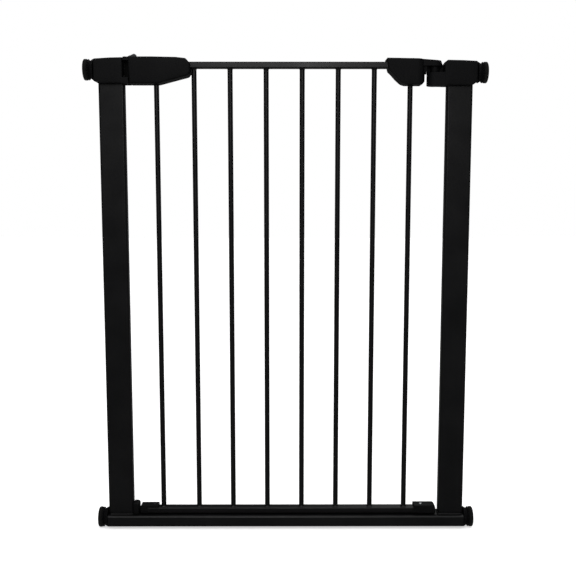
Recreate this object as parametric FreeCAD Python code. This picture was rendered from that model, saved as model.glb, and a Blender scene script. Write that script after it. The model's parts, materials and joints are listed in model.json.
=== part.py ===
import FreeCAD
import Part
import math
import os

# A pressure-mounted walk-through safety gate. Units are millimetres.
# +X is to the right seen from the front, +Y is away from the front, +Z is up.
# The origin is on the floor, midway between the two sides.
# The latch is on the left post and the hinge is on the right post.

Vector = FreeCAD.Vector
LEFT, RIGHT = -1, 1

# Frame
FRAME_HALF_WIDTH = 347.0
POST_WIDTH = 48.0
POST_DEPTH = 20.0
POST_WALL = 1.2
POST_CORNER = 4.0
POST_TOP = 868.0
BAR_BOTTOM = 6.0
BAR_TOP = 28.0
BAR_DEPTH = 42.0
BAR_WALL = 1.5
BAR_CORNER = 4.0
WELD_SIZE = 2.0
PLUG_GAP = 0.05
PLUG_LENGTH = 25.0
PLUG_FLANGE = 1.2
PLUG_FLANGE_INSET = 0.5
INSERT_LENGTH = 40.0
INSERT_GAP = 0.1
SNUG = 0.05
STOP_REACH = 11.0
STOP_HALF_DEPTH = 12.0
STOP_TONGUE_TIP = -276.0
STOP_TONGUE_HALF_DEPTH = 4.5

# Door
DOOR_GAP = 1.5
RAIL_DEPTH = 20.0
RAIL_HEIGHT = 11.5
RAIL_WALL = 1.2
RAIL_CORNER = 2.0
DOOR_TOP = 896.0
BAR_RADIUS = 4.8
BAR_TUBE_WALL = 1.0
BAR_PITCH = 67.0
BAR_COUNT = 8
LAST_BAR_X = 231.7
FIRST_BAR_SHIFT = -3.0
LIFT = 12.0
TOP_RAIL_X = (-248.0, 250.0)
BOTTOM_RAIL_X = (-271.0, 271.0)

# Hinge
HINGE_X = 277.0
PIN_RADIUS = 4.0
BUSH_RADIUS = 7.0
RUNNING = 0.05
NOSE_RADIUS = 15.0
BARREL_RADIUS = 9.0
NOSE_TOP = 877.0
BARREL_TOP = 888.0
ARM_BOTTOM = 888.5
ARM_RADIUS = 14.0
BUSH_SEAT = 855.0
UPPER_PIN_Z = (860.0, 895.0)
LOWER_PIN_Z = (9.0, 42.0)
PIN_FIT = 0.02
SOCKET_BOTTOM = 12.0
SOCKET_FLANGE = 0.7
BACK_WALL_FRONT = 2.0
WEB_X = (250.0, 261.4)
WEB_HALF_DEPTH = 10.0
WEB_BOTTOM = 877.4
WEB_FOOT_HALF_DEPTH = 2.0
WEB_FOOT_BOTTOM = 874.0

# Casings
CASE_HALF_DEPTH = 20.0
CASE_WALL = 2.5
CASE_EDGE = 3.0
BOSS_RADIUS = 3.6
CAP_BOTTOM = 855.7
HINGE_CAP_BOTTOM = 852.6
HINGE_CAP_LEFT = HINGE_X + 15.5
LIP_TOP = 867.0
LIP_REACH = 11.0
SLOT_LEFT = -300.0
HANDLE_LEFT = -290.0
HANDLE_SHELL_LEFT = HANDLE_LEFT - 0.2
HANDLE_TOP = 904.3
WEDGE_LEFT = 186.0
WEDGE_ROUND_START = 243.0
WEDGE_RIGHT = 258.2
WEDGE_HOLLOW_END = 240.0
LUG_Z = (897.2, 903.6)
RIDGE_TOP = 905.6
RIDGE_HALF_DEPTH = 8.0

# Latch
BOLT_LOW = 874.0
BOLT_HEIGHT = 8.0
BOLT_HALF_DEPTH = 3.2
BOLT_TIP = -306.0
BOLT_END = -262.0
BOLT_TRAVEL = 8.0
TONGUE_HALF_DEPTH = 5.5
TONGUE_FACE_X = (SLOT_LEFT + 1.6, HANDLE_LEFT + 0.8)
TONGUE_FACE_Z = (857.5, 895.0)
TONGUE_FOOT_RIGHT = -276.0
TONGUE_FOOT_Z = (857.9, 872.0)
STEM_LEFT = -288.0
STEM_WIDTH = 6.0
STEM_HALF_DEPTH = 2.5
SPRING_END = -248.0
SPRING_RADIUS = 3.0
SPRING_WIRE = 0.5
SPRING_COILS = 6
SLIDE_X = (-291.5, -277.5)
SLIDE_BOTTOM = HANDLE_TOP + 0.2
SLIDE_HALF_DEPTH = 8.0

# Spindles
SPINDLE_RADIUS = 4.5
SPINDLE_LENGTH = 62.5
SPINDLE_BORE_X = (309.0, 360.0)
PAD_RADIUS = 19.5
PAD_THICKNESS = 7.0
PAD_FLOOR = 2.5
WHEEL_RADIUS = 19.3
WHEEL_THICKNESS = 11.1
WHEEL_FLUTES = 20
WHEEL_GAP = 0.6
FLUTE_RADIUS = 1.6
UPPER_LEFT_Z = 882.3
UPPER_RIGHT_Z = 877.4
LOWER_Z = 19.5
UPPER_WALL_X = 374.0
LOWER_WALL_X = 367.6

# Lower hinge and latch fittings
SHOE_BOTTOM = BAR_TOP + DOOR_GAP
SHOE_TOP = 46.0
STOP_TOP = 50.0
STOP_TONGUE_TOP = 38.5
SHOE_HALF_DEPTH = 12.0
HINGE_SHOE_X = (251.0, HINGE_X + 16.5)
LATCH_SHOE_X = (-285.0, -250.0)
HINGE_SHOE_SCREW_X = 265.5
LATCH_SHOE_SCREW_X = -258.0

# Screws
SCREW_RADIUS = 1.6
SCREW_HEAD_RADIUS = 3.2
SCREW_HEAD_HEIGHT = 2.0
HEAD_SUNK = 0.4
CAP_SCREW_LENGTH = 26.0
CASING_SCREW_LENGTH = 32.0

# Worked out from the above
POST_INNER = FRAME_HALF_WIDTH - POST_WIDTH
TOP_RAIL_BOTTOM = DOOR_TOP - RAIL_HEIGHT
BOTTOM_RAIL_TOP = SHOE_BOTTOM + RAIL_HEIGHT
HALF_RAIL = RAIL_DEPTH / 2
LARGE = 2000.0

# Outlines of the casings seen from the front, and where their screws and ribs stand
LATCH_CAP_OUTLINE = [
    (-354.0, 860.6),
    (-344.5, CAP_BOTTOM),
    (SLOT_LEFT + LIP_REACH, CAP_BOTTOM),
    (SLOT_LEFT + LIP_REACH - 1, LIP_TOP),
    (SLOT_LEFT, LIP_TOP),
    (SLOT_LEFT, 902.8),
    (-354.0, 900.4),
]
LATCH_CAP_SCREWS = [(-350.3, 870.0), (-350.3, 894.0)]
HINGE_CAP_OUTLINE = [
    (HINGE_CAP_LEFT, HINGE_CAP_BOTTOM),
    (344.0, HINGE_CAP_BOTTOM),
    (353.6, 859.0),
    (353.6, 896.4),
    (HINGE_X + 21, 898.4),
    (HINGE_CAP_LEFT, 891.0),
]
HINGE_CAP_SCREWS = [(350.2, 865.5), (350.2, 889.5)]
HANDLE_OUTLINE = [
    (-288.0, 855.4),
    (-236.0, 855.4),
    (-181.0, 869.8),
    (-176.0, 876.0),
    (-176.0, 893.0),
    (-183.0, 901.6),
    (-200.0, 903.4),
    (-235.0, HANDLE_TOP),
    (HANDLE_SHELL_LEFT, HANDLE_TOP),
]
HANDLE_ROUNDED = HANDLE_OUTLINE[2:6]
HANDLE_SCREWS = [(-271.0, 863.0), (-224.0, 874.0), (-190.0, 879.0)]
HANDLE_RIBS = [-285.2, -265.0, -247.9, -231.0, -198.0]
HINGE_CASING_OUTLINE = [
    (WEDGE_LEFT, 902.0),
    (190.5, 880.0),
    (195.5, 875.6),
    (205.0, 865.0),
    (214.5, 856.8),
    (222.0, 854.4),
    (252.0, 854.4),
    (257.0, 860.0),
    (WEDGE_RIGHT, ARM_BOTTOM),
    (HINGE_X + ARM_RADIUS, ARM_BOTTOM),
    (HINGE_X + ARM_RADIUS, 890.0),
    (HINGE_X + 9.5, 897.9),
    (245.0, 901.0),
]
HINGE_CASING_SCREWS = [(200.0, 878.0), (218.0, 866.0), (248.0, 868.0)]
HINGE_CASING_RIBS = [196.0, 222.0]


def block(x, y, z):
    """A box from three (low, high) spans."""
    low = Vector(min(x), min(y), min(z))
    return Part.makeBox(abs(x[1] - x[0]), abs(y[1] - y[0]), abs(z[1] - z[0]), low)


def eased_block(x, y, z, along, radius):
    """A box whose four edges that run along one axis are rounded."""
    box = block(x, y, z)
    edges = [edge for edge in box.Edges if abs(edge.tangentAt(edge.FirstParameter).dot(along)) > 0.9]
    return box.makeFillet(radius, edges)


def tube(x, y, z, along, wall, radius):
    """A rounded rectangular tube, open at both ends."""
    outer = eased_block(x, y, z, along, radius)
    spans = []
    for span, axis in ((x, Vector(1, 0, 0)), (y, Vector(0, 1, 0)), (z, Vector(0, 0, 1))):
        inset = -wall if abs(along.dot(axis)) > 0.9 else wall
        spans.append((min(span) + inset, max(span) - inset))
    return outer.cut(eased_block(*spans, along, radius - wall))


def upright(radius, x, y, z):
    """A vertical cylinder between two heights."""
    return Part.makeCylinder(radius, z[1] - z[0], Vector(x, y, z[0]))


def across(radius, x, z, y=0.0):
    """A cylinder along X between two places."""
    return Part.makeCylinder(radius, abs(x[1] - x[0]), Vector(min(x), y, z), Vector(1, 0, 0))


def through(radius, x, z, y):
    """A cylinder along Y between two depths."""
    return Part.makeCylinder(radius, y[1] - y[0], Vector(x, y[0], z), Vector(0, 1, 0))


def profile(points, half_depth):
    """A closed outline of (x, z) points, made solid to the same depth each side of Y = 0."""
    corners = [Vector(x, -half_depth, z) for x, z in points]
    face = Part.Face(Part.makePolygon(corners + corners[:1]))
    return face.extrude(Vector(0, 2 * half_depth, 0))


def inner_profile(points, inset, half_depth):
    """The same outline moved inwards by a wall thickness."""
    corners = [Vector(x, -half_depth, z) for x, z in points]
    face = Part.Face(Part.makePolygon(corners + corners[:1]))
    smaller = face.makeOffset2D(-inset)
    return smaller.extrude(Vector(0, 2 * half_depth, 0))


def ease_front_and_back(solid, radius):
    """Rounds the long edges where the front and back faces meet the sides."""
    low, high = solid.BoundBox.YMin, solid.BoundBox.YMax
    edges = []
    for edge in solid.Edges:
        box = edge.BoundBox
        on_face = abs(box.YMin - low) < 1e-4 and abs(box.YMax - low) < 1e-4
        on_back = abs(box.YMin - high) < 1e-4 and abs(box.YMax - high) < 1e-4
        if on_face or on_back:
            edges.append(edge)
    return solid.makeFillet(radius, edges)


def round_corners(solid, radius, near):
    """Rounds the edges that run along Y and pass near the given (x, z) points."""
    edges = []
    for edge in solid.Edges:
        along_y = edge.BoundBox.XLength < 1e-4 and edge.BoundBox.ZLength < 1e-4
        centre = edge.BoundBox.Center
        if along_y and any(math.hypot(centre.x - x, centre.z - z) < 1.0 for x, z in near):
            edges.append(edge)
    return solid.makeFillet(radius, edges)


def halves(solid):
    """The front and back shells of a casing, parted at Y = 0."""
    front = solid.common(block((-LARGE, LARGE), (-LARGE, 0), (-LARGE, LARGE)))
    back = solid.common(block((-LARGE, LARGE), (0, LARGE), (-LARGE, LARGE)))
    return front, back


def screw_places_cut(solid, places, length):
    """Screw holes from the back, each with a recess for the head."""
    back = CASE_HALF_DEPTH
    for x, z in places:
        solid = solid.cut(through(SCREW_RADIUS + RUNNING, x, z, (back - length, back + 1)))
        recess = (back - SCREW_HEAD_HEIGHT - HEAD_SUNK, back + 1)
        solid = solid.cut(through(SCREW_HEAD_RADIUS + 0.2, x, z, recess))
    return solid


def rib_and_boss_room(ribs, screw_places):
    """The ribs and screw bosses that are left standing inside a hollow casing."""
    bosses = [through(BOSS_RADIUS, x, z, (-CASE_HALF_DEPTH, CASE_HALF_DEPTH)) for x, z in screw_places]
    walls = [block((x, x + CASE_WALL), (-CASE_HALF_DEPTH, CASE_HALF_DEPTH), (0, LARGE)) for x in ribs]
    return walls + bosses


def screws(places, length):
    """Pan-head screws that enter from the back, with a cross recess."""
    made = []
    face = CASE_HALF_DEPTH - HEAD_SUNK
    for x, z in places:
        head_start = face - SCREW_HEAD_HEIGHT
        shank = through(SCREW_RADIUS, x, z, (CASE_HALF_DEPTH - length + 1, head_start))
        head = through(SCREW_HEAD_RADIUS, x, z, (head_start, face))
        slot = block((x - 2, x + 2), (face - 1, face + 1), (z - 0.4, z + 0.4))
        cross = block((x - 0.4, x + 0.4), (face - 1, face + 1), (z - 2, z + 2))
        made.append(shank.fuse(head).cut(slot).cut(cross))
    return Part.makeCompound(made)


# ---- Frame -------------------------------------------------------------------


def post(side):
    x = (side * POST_INNER, side * FRAME_HALF_WIDTH)
    y = (-POST_DEPTH / 2, POST_DEPTH / 2)
    return tube(x, y, (BAR_TOP, POST_TOP), Vector(0, 0, 1), POST_WALL, POST_CORNER)


def bottom_bar():
    x = (-FRAME_HALF_WIDTH, FRAME_HALF_WIDTH)
    y = (-BAR_DEPTH / 2, BAR_DEPTH / 2)
    bar = tube(x, y, (BAR_BOTTOM, BAR_TOP), Vector(1, 0, 0), BAR_WALL, BAR_CORNER)
    return bar.cut(upright(BARREL_RADIUS, HINGE_X, 0, (BAR_TOP - 5, BAR_TOP + 5)))


def post_weld(side):
    """A sloped bead all round the foot of a post."""
    inner = side * POST_INNER
    outer = side * FRAME_HALF_WIDTH
    x = (min(inner, outer), max(inner, outer))
    half = POST_DEPTH / 2
    bead_x = (x[0] - WELD_SIZE, x[1]) if side == RIGHT else (x[0], x[1] + WELD_SIZE)
    bead = block(bead_x, (-half - WELD_SIZE, half + WELD_SIZE), (BAR_TOP, BAR_TOP + WELD_SIZE))
    top_edges = []
    for edge in bead.Edges:
        box = edge.BoundBox
        outside = abs(abs(box.Center.x) - FRAME_HALF_WIDTH) < 0.01
        if abs(box.ZMin - bead.BoundBox.ZMax) < 0.01 and not outside:
            top_edges.append(edge)
    bead = bead.makeChamfer(WELD_SIZE * 0.9, top_edges)
    foot = eased_block(x, (-half, half), (0, LARGE), Vector(0, 0, 1), POST_CORNER)
    return bead.cut(foot)


def bar_plug(side):
    """Plastic plug with a flange; the lower spindle slides in its bore."""
    outer = FRAME_HALF_WIDTH
    inset = BAR_WALL + PLUG_GAP
    y = BAR_DEPTH / 2 - inset
    z = (BAR_BOTTOM + inset, BAR_TOP - inset)
    core_x = (side * (outer - PLUG_LENGTH), side * outer)
    core = eased_block(core_x, (-y, y), z, Vector(1, 0, 0), BAR_CORNER - BAR_WALL)
    flange_y = BAR_DEPTH / 2 - PLUG_FLANGE_INSET
    flange_z = (BAR_BOTTOM + PLUG_FLANGE_INSET, BAR_TOP - PLUG_FLANGE_INSET)
    flange_x = (side * outer, side * (outer + PLUG_FLANGE))
    flange = eased_block(flange_x, (-flange_y, flange_y), flange_z, Vector(1, 0, 0), BAR_CORNER)
    bore_x = (side * (outer - PLUG_LENGTH - 1), side * (outer + PLUG_FLANGE + 1))
    bore = across(SPINDLE_RADIUS + RUNNING, bore_x, LOWER_Z)
    return core.fuse(flange).removeSplitter().cut(bore)


def spindle_bore(side, height):
    low, high = SPINDLE_BORE_X
    return across(SPINDLE_RADIUS + RUNNING, (side * low, side * high), height)


def insert_block(side, z):
    inset = POST_WALL + INSERT_GAP
    x = (side * (POST_INNER + inset), side * (FRAME_HALF_WIDTH - inset))
    y = POST_DEPTH / 2 - inset
    return eased_block(x, (-y, y), z, Vector(0, 0, 1), POST_CORNER - POST_WALL)


def post_insert(side, height):
    """Insert in the top of a post, with the upper spindle's bore."""
    insert = insert_block(side, (POST_TOP - INSERT_LENGTH, DOOR_TOP)).cut(spindle_bore(side, height))
    if side == LEFT:
        insert = insert.cut(bolt_pocket())
    return insert


def bolt_pocket():
    """Tall enough for the bolt to rise in it as the door lifts."""
    half = BOLT_HALF_DEPTH + 1
    z = (BOLT_LOW - 1.5, BOLT_LOW + BOLT_HEIGHT + LIFT + 2)
    return block((BOLT_TIP - 1.5, SLOT_LEFT + 1), (-half, half), z)


def post_room(side):
    """The space that a cap leaves for its post and insert."""
    x = (side * (POST_INNER - SNUG), side * (FRAME_HALF_WIDTH + SNUG))
    y = POST_DEPTH / 2 + SNUG
    foot = eased_block(x, (-y, y), (0, POST_TOP + SNUG), Vector(0, 0, 1), POST_CORNER)
    return foot.fuse(insert_block(side, (POST_TOP - 1, DOOR_TOP + SNUG)))


def latch_cap():
    left_top = LATCH_CAP_OUTLINE[-1]
    cap = round_corners(profile(LATCH_CAP_OUTLINE, CASE_HALF_DEPTH), 2.5, [left_top])
    cap = ease_front_and_back(cap, CASE_EDGE)
    cap = cap.cut(post_room(LEFT)).cut(spindle_bore(LEFT, UPPER_LEFT_Z)).cut(bolt_pocket())
    half = TONGUE_HALF_DEPTH + 0.4
    cap = cap.cut(block((SLOT_LEFT, HANDLE_LEFT + 5), (-half, half), (0, LARGE)))
    return screw_places_cut(cap, LATCH_CAP_SCREWS, CAP_SCREW_LENGTH)


def flared_neck(z):
    """Widens from the nose to the full depth of the cap, so that their front faces run together."""
    end = HINGE_CAP_LEFT + CASE_EDGE + 0.5
    wide = CASE_HALF_DEPTH - 0.2
    plan = [(HINGE_X, -NOSE_RADIUS), (end, -wide), (end, wide), (HINGE_X, NOSE_RADIUS)]
    corners = [Vector(x, y, z[0]) for x, y in plan]
    face = Part.Face(Part.makePolygon(corners + corners[:1]))
    return face.extrude(Vector(0, 0, z[1] - z[0]))


def hinge_nose():
    """Rounded lower nose, its neck to the cap, the barrel, and a wall round the barrel's back."""
    lower = (HINGE_CAP_BOTTOM, NOSE_TOP)
    upper = (NOSE_TOP - 1, BARREL_TOP)
    deep = (-NOSE_RADIUS, NOSE_RADIUS)
    nose = upright(NOSE_RADIUS, HINGE_X, 0, lower)
    neck = flared_neck(lower)
    wall_z = (NOSE_TOP - 1, ARM_BOTTOM - 0.1)
    behind = block((HINGE_X - LARGE, HINGE_CAP_LEFT + 1), (BACK_WALL_FRONT, LARGE), wall_z)
    rounded = upright(NOSE_RADIUS, HINGE_X, 0, wall_z)
    squared = block((HINGE_X, HINGE_CAP_LEFT + 1), deep, wall_z)
    flange_room = upright(BARREL_RADIUS, HINGE_X, 0, (BARREL_TOP, LARGE))
    wall = rounded.fuse(squared).common(behind).cut(flange_room)
    barrel = upright(BARREL_RADIUS, HINGE_X, 0, upper)
    return nose.fuse([neck, wall, barrel])


def hinge_cap():
    right_top = HINGE_CAP_OUTLINE[3]
    cap = round_corners(profile(HINGE_CAP_OUTLINE, CASE_HALF_DEPTH), 2.5, [right_top])
    cap = ease_front_and_back(cap, CASE_EDGE)
    cap = cap.fuse(hinge_nose()).removeSplitter()
    bush_bore = upright(BUSH_RADIUS + RUNNING, HINGE_X, 0, (BUSH_SEAT, LARGE))
    cap = cap.cut(post_room(RIGHT)).cut(spindle_bore(RIGHT, UPPER_RIGHT_Z)).cut(bush_bore)
    return screw_places_cut(cap, HINGE_CAP_SCREWS, CAP_SCREW_LENGTH)


def lower_stop_block():
    """A buffer on the post's inner face, with a tongue that the door's lower shoe straddles."""
    end = -POST_INNER + STOP_REACH
    body = block((-POST_INNER, end), (-STOP_HALF_DEPTH, STOP_HALF_DEPTH), (BAR_TOP, STOP_TOP))
    body = round_corners(body, 5.0, [(end, STOP_TOP)])
    thick = (-STOP_TONGUE_HALF_DEPTH, STOP_TONGUE_HALF_DEPTH)
    tongue = block((end - 1, STOP_TONGUE_TIP), thick, (BAR_TOP + 0.5, STOP_TONGUE_TOP))
    room = WELD_SIZE + 0.2
    deep = (-STOP_HALF_DEPTH - 1, STOP_HALF_DEPTH + 1)
    weld_room = block((-POST_INNER, -POST_INNER + room), deep, (BAR_TOP, BAR_TOP + room))
    return body.fuse(tongue).removeSplitter().cut(weld_room)


def lower_hinge_socket():
    """Flanged socket let into the top of the bottom bar."""
    body = upright(BARREL_RADIUS - SNUG, HINGE_X, 0, (SOCKET_BOTTOM, BAR_TOP))
    flange = upright(BARREL_RADIUS + 3, HINGE_X, 0, (BAR_TOP, BAR_TOP + SOCKET_FLANGE))
    return body.fuse(flange).cut(upright(BUSH_RADIUS + RUNNING, HINGE_X, 0, (0, LARGE)))


# ---- Hinge bushes and pins ---------------------------------------------------


def keyed(radius, z):
    """A vertical pin or bore with one flat, so that pin and bush turn together."""
    round_pin = upright(radius, HINGE_X, 0, z)
    flat = block((HINGE_X - LARGE, HINGE_X - radius * 0.8), (-LARGE, LARGE), (0, LARGE))
    return round_pin.cut(flat)


def bush(bottom, flange_bottom, flange_top, flange_radius):
    body = upright(BUSH_RADIUS, HINGE_X, 0, (bottom, flange_bottom))
    flange = upright(flange_radius, HINGE_X, 0, (flange_bottom, flange_top))
    return body.fuse(flange).cut(keyed(PIN_RADIUS + RUNNING, (0, LARGE)))


# ---- Door --------------------------------------------------------------------


def rail(x, z):
    return tube(x, (-HALF_RAIL, HALF_RAIL), z, Vector(1, 0, 0), RAIL_WALL, RAIL_CORNER)


def rail_room(x, z):
    y = HALF_RAIL + SNUG
    return eased_block(x, (-y, y), (z[0] - SNUG, z[1] + SNUG), Vector(1, 0, 0), RAIL_CORNER)


def top_rail_room(x, bar_number):
    """What a casing leaves free for the top rail and for the bar under it."""
    hole = upright(BAR_RADIUS + 0.1, bar_x(bar_number), 0, (0, TOP_RAIL_BOTTOM + 1))
    return rail_room(x, (TOP_RAIL_BOTTOM, DOOR_TOP)).fuse(hole)


def bar_x(number):
    """Bars are counted from the latch side; the first stands a little wide of the even pitch."""
    x = LAST_BAR_X - (BAR_COUNT - number) * BAR_PITCH
    return x + FIRST_BAR_SHIFT if number == 1 else x


def door_bar(number):
    x = bar_x(number)
    z = (BOTTOM_RAIL_TOP, TOP_RAIL_BOTTOM)
    return upright(BAR_RADIUS, x, 0, z).cut(upright(BAR_RADIUS - BAR_TUBE_WALL, x, 0, z))


def handle():
    """The hollow handle over the latch end of the top rail, before it is parted into two shells."""
    body = round_corners(profile(HANDLE_OUTLINE, CASE_HALF_DEPTH), 3.0, HANDLE_ROUNDED)
    body = ease_front_and_back(body, CASE_EDGE)
    hollow = inner_profile(HANDLE_OUTLINE, CASE_WALL, CASE_HALF_DEPTH - CASE_WALL)
    body = body.cut(hollow.cut(rib_and_boss_room(HANDLE_RIBS, HANDLE_SCREWS)))
    lug_half = CASE_HALF_DEPTH - 0.5
    lug_x = (SLOT_LEFT + 0.8, HANDLE_SHELL_LEFT + 2)
    lug = block(lug_x, (-lug_half, lug_half), LUG_Z)
    lug_foot = block(lug_x, (-TONGUE_HALF_DEPTH, lug_half), (TONGUE_FACE_Z[1] + 0.2, LUG_Z[0] + 1))
    ridge_y = (-RIDGE_HALF_DEPTH, RIDGE_HALF_DEPTH)
    ridge = block((SLOT_LEFT + 1, SLOT_LEFT + 3.5), ridge_y, (LUG_Z[1] - 1, RIDGE_TOP))
    body = body.fuse([lug, lug_foot, ridge]).cut(top_rail_room((TOP_RAIL_X[0], 0), 1))
    body = body.cut([bolt_channel(0.2), stem_room(), tongue(SNUG)])
    return screw_places_cut(body, HANDLE_SCREWS, CASING_SCREW_LENGTH)


def stem_room():
    """The slot in the handle's top along which the bolt's stem travels."""
    half = STEM_HALF_DEPTH + 0.5
    x = (STEM_LEFT - 0.6, STEM_LEFT + STEM_WIDTH + BOLT_TRAVEL + 0.6)
    return block(x, (-half, half), (BOLT_LOW + BOLT_HEIGHT - 1, LARGE))


def bolt_channel(gap):
    """Room for the bolt, its travel and its spring."""
    half = BOLT_HALF_DEPTH + gap
    z = (BOLT_LOW - gap, BOLT_LOW + BOLT_HEIGHT + gap)
    return block((SLOT_LEFT, SPRING_END), (-half, half), z)


def tongue(gap):
    """The tongue's outside, grown by a gap where it is used as room in the handle."""
    y = (-TONGUE_HALF_DEPTH - gap, TONGUE_HALF_DEPTH + gap)
    left, middle = TONGUE_FACE_X
    face = block((left - gap, middle + gap), y, (TONGUE_FACE_Z[0] - gap, TONGUE_FACE_Z[1] + gap))
    foot_x = (HANDLE_LEFT, TONGUE_FOOT_RIGHT + gap)
    foot = block(foot_x, y, (TONGUE_FOOT_Z[0] - gap, TONGUE_FOOT_Z[1] + gap))
    return face.fuse(foot).removeSplitter()


def latch_tongue():
    """Drops between the latch cap's lips; the bolt runs through it."""
    return tongue(0).cut(bolt_channel(0.15))


def hinge_casing_plan():
    """Seen from above: a rounded end next to the barrel, and the arm that reaches over it."""
    deep = CASE_HALF_DEPTH
    start = Vector(WEDGE_ROUND_START, -deep, 0)
    end = Vector(WEDGE_ROUND_START, deep, 0)
    back_left = Vector(WEDGE_LEFT - 5, deep, 0)
    front_left = Vector(WEDGE_LEFT - 5, -deep, 0)
    edges = [Part.Arc(start, Vector(WEDGE_RIGHT, 0, 0), end).toShape()]
    for a, b in ((end, back_left), (back_left, front_left), (front_left, start)):
        edges.append(Part.LineSegment(a, b).toShape())
    wedge = Part.Face(Part.Wire(Part.__sortEdges__(edges))).extrude(Vector(0, 0, LARGE))
    arm = block((WEDGE_HOLLOW_END, HINGE_X), (-ARM_RADIUS, ARM_RADIUS), (0, LARGE))
    return wedge.fuse(arm).fuse(upright(ARM_RADIUS, HINGE_X, 0, (0, LARGE))).removeSplitter()


def hinge_casing():
    """The casing at the hinge end of the top rail, before it is parted into two shells."""
    body = profile(HINGE_CASING_OUTLINE, CASE_HALF_DEPTH).common(hinge_casing_plan())
    web = block(WEB_X, (-WEB_HALF_DEPTH, WEB_HALF_DEPTH), (WEB_BOTTOM, ARM_BOTTOM + 1))
    foot = block(WEB_X, (-WEB_FOOT_HALF_DEPTH, WEB_FOOT_HALF_DEPTH), (WEB_FOOT_BOTTOM, WEB_BOTTOM + 1))
    body = body.fuse([web, foot]).removeSplitter()
    inside = inner_profile(HINGE_CASING_OUTLINE, CASE_WALL, CASE_HALF_DEPTH - CASE_WALL)
    inside = inside.common(block((0, WEDGE_HOLLOW_END), (-LARGE, LARGE), (0, LARGE)))
    body = body.cut(inside.cut(rib_and_boss_room(HINGE_CASING_RIBS, HINGE_CASING_SCREWS)))
    body = body.cut(top_rail_room((0, TOP_RAIL_X[1]), BAR_COUNT))
    body = body.cut(keyed(PIN_RADIUS + PIN_FIT, (ARM_BOTTOM - 1, UPPER_PIN_Z[1] + SNUG)))
    return screw_places_cut(body, HINGE_CASING_SCREWS, CASING_SCREW_LENGTH)


def lower_hinge_shoe():
    """Block on the end of the bottom rail that carries the lower pin."""
    shoe = block(HINGE_SHOE_X, (-SHOE_HALF_DEPTH, SHOE_HALF_DEPTH), (SHOE_BOTTOM, SHOE_TOP))
    shoe = round_corners(shoe, 5.0, [(HINGE_SHOE_X[1], SHOE_TOP)])
    rail_x = (0, BOTTOM_RAIL_X[1])
    shoe = shoe.cut(rail_room(rail_x, (SHOE_BOTTOM, BOTTOM_RAIL_TOP)))
    shoe = shoe.cut(block(rail_x, (1 - HALF_RAIL, HALF_RAIL - 1), (0, SHOE_BOTTOM + 3)))
    shoe = shoe.cut(upright(SCREW_RADIUS + RUNNING, HINGE_SHOE_SCREW_X, 0, (BOTTOM_RAIL_TOP - 3, LARGE)))
    return shoe.cut(keyed(PIN_RADIUS + PIN_FIT, (0, LOWER_PIN_Z[1] + SNUG)))


def top_screw(x, top):
    """A short screw with a domed head, driven down into the bottom rail."""
    shank = upright(SCREW_RADIUS, x, 0, (BOTTOM_RAIL_TOP, top))
    dome = Part.makeSphere(4.0, Vector(x, 0, top - 2.6))
    return shank.fuse(dome.common(block((-LARGE, LARGE), (-LARGE, LARGE), (top, LARGE)))).removeSplitter()


def lower_latch_shoe():
    """Plate on the bottom rail's free end; its slotted end straddles the stop's tongue."""
    left, right = LATCH_SHOE_X
    plate = block(LATCH_SHOE_X, (-HALF_RAIL, HALF_RAIL), (SHOE_BOTTOM, SHOE_TOP))
    plate = round_corners(plate, 3.0, [(left, SHOE_TOP), (right, SHOE_TOP)])
    plate = plate.cut(block((BOTTOM_RAIL_X[0] - 0.1, 0), (-LARGE, LARGE), (0, BOTTOM_RAIL_TOP)))
    slot_half = STOP_TONGUE_HALF_DEPTH + 0.8
    slot = block((left - 1, STOP_TONGUE_TIP + 1), (-slot_half, slot_half), (0, STOP_TONGUE_TOP + 2))
    return plate.cut(slot).cut(upright(SCREW_RADIUS + RUNNING, LATCH_SHOE_SCREW_X, 0, (0, LARGE)))


# ---- Release -----------------------------------------------------------------


def latch_bolt():
    half = BOLT_HALF_DEPTH
    body = block((BOLT_TIP, BOLT_END), (-half, half), (BOLT_LOW, BOLT_LOW + BOLT_HEIGHT))
    body = body.makeChamfer(1.0, [edge for edge in body.Edges if abs(edge.BoundBox.XMax - BOLT_TIP) < 0.01])
    stem_x = (STEM_LEFT, STEM_LEFT + STEM_WIDTH)
    stem_z = (BOLT_LOW + BOLT_HEIGHT - 1, SLIDE_BOTTOM)
    stem = block(stem_x, (-STEM_HALF_DEPTH, STEM_HALF_DEPTH), stem_z)
    return body.fuse(stem).removeSplitter()


def thumb_slide():
    """A ramp that rises to a steep face, pushed away from the post to draw the bolt."""
    left, right = SLIDE_X
    low = SLIDE_BOTTOM
    ramp = [(left + 3, low + 2.7), (left, low + 1.3)]
    outline = [(left, low), (right, low), (right, low + 5.1), (right - 3, low + 5.9)] + ramp
    slide = profile(outline, SLIDE_HALF_DEPTH)
    deep = (-SLIDE_HALF_DEPTH - 1, SLIDE_HALF_DEPTH + 1)
    grooves = [through(0.5, left + 5.0 + 2.2 * n, low + 3.8 + 0.9 * n, deep) for n in range(3)]
    return slide.cut(grooves)


def bolt_spring():
    length = SPRING_END - BOLT_END
    pitch = length / SPRING_COILS
    helix = Part.makeHelix(pitch, length - 2 * SPRING_WIRE, SPRING_RADIUS - SPRING_WIRE)
    start = Vector(SPRING_RADIUS - SPRING_WIRE, 0, 0)
    section = Part.Wire(Part.makeCircle(SPRING_WIRE, start, Vector(0, 1, 0)))
    coil = Part.Wire(helix.Edges).makePipeShell([section], True, True)
    coil.rotate(Vector(0, 0, 0), Vector(0, 1, 0), 90)
    coil.translate(Vector(BOLT_END + SPRING_WIRE, 0, BOLT_LOW + BOLT_HEIGHT / 2))
    return coil


# ---- Spindles ----------------------------------------------------------------


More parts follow.
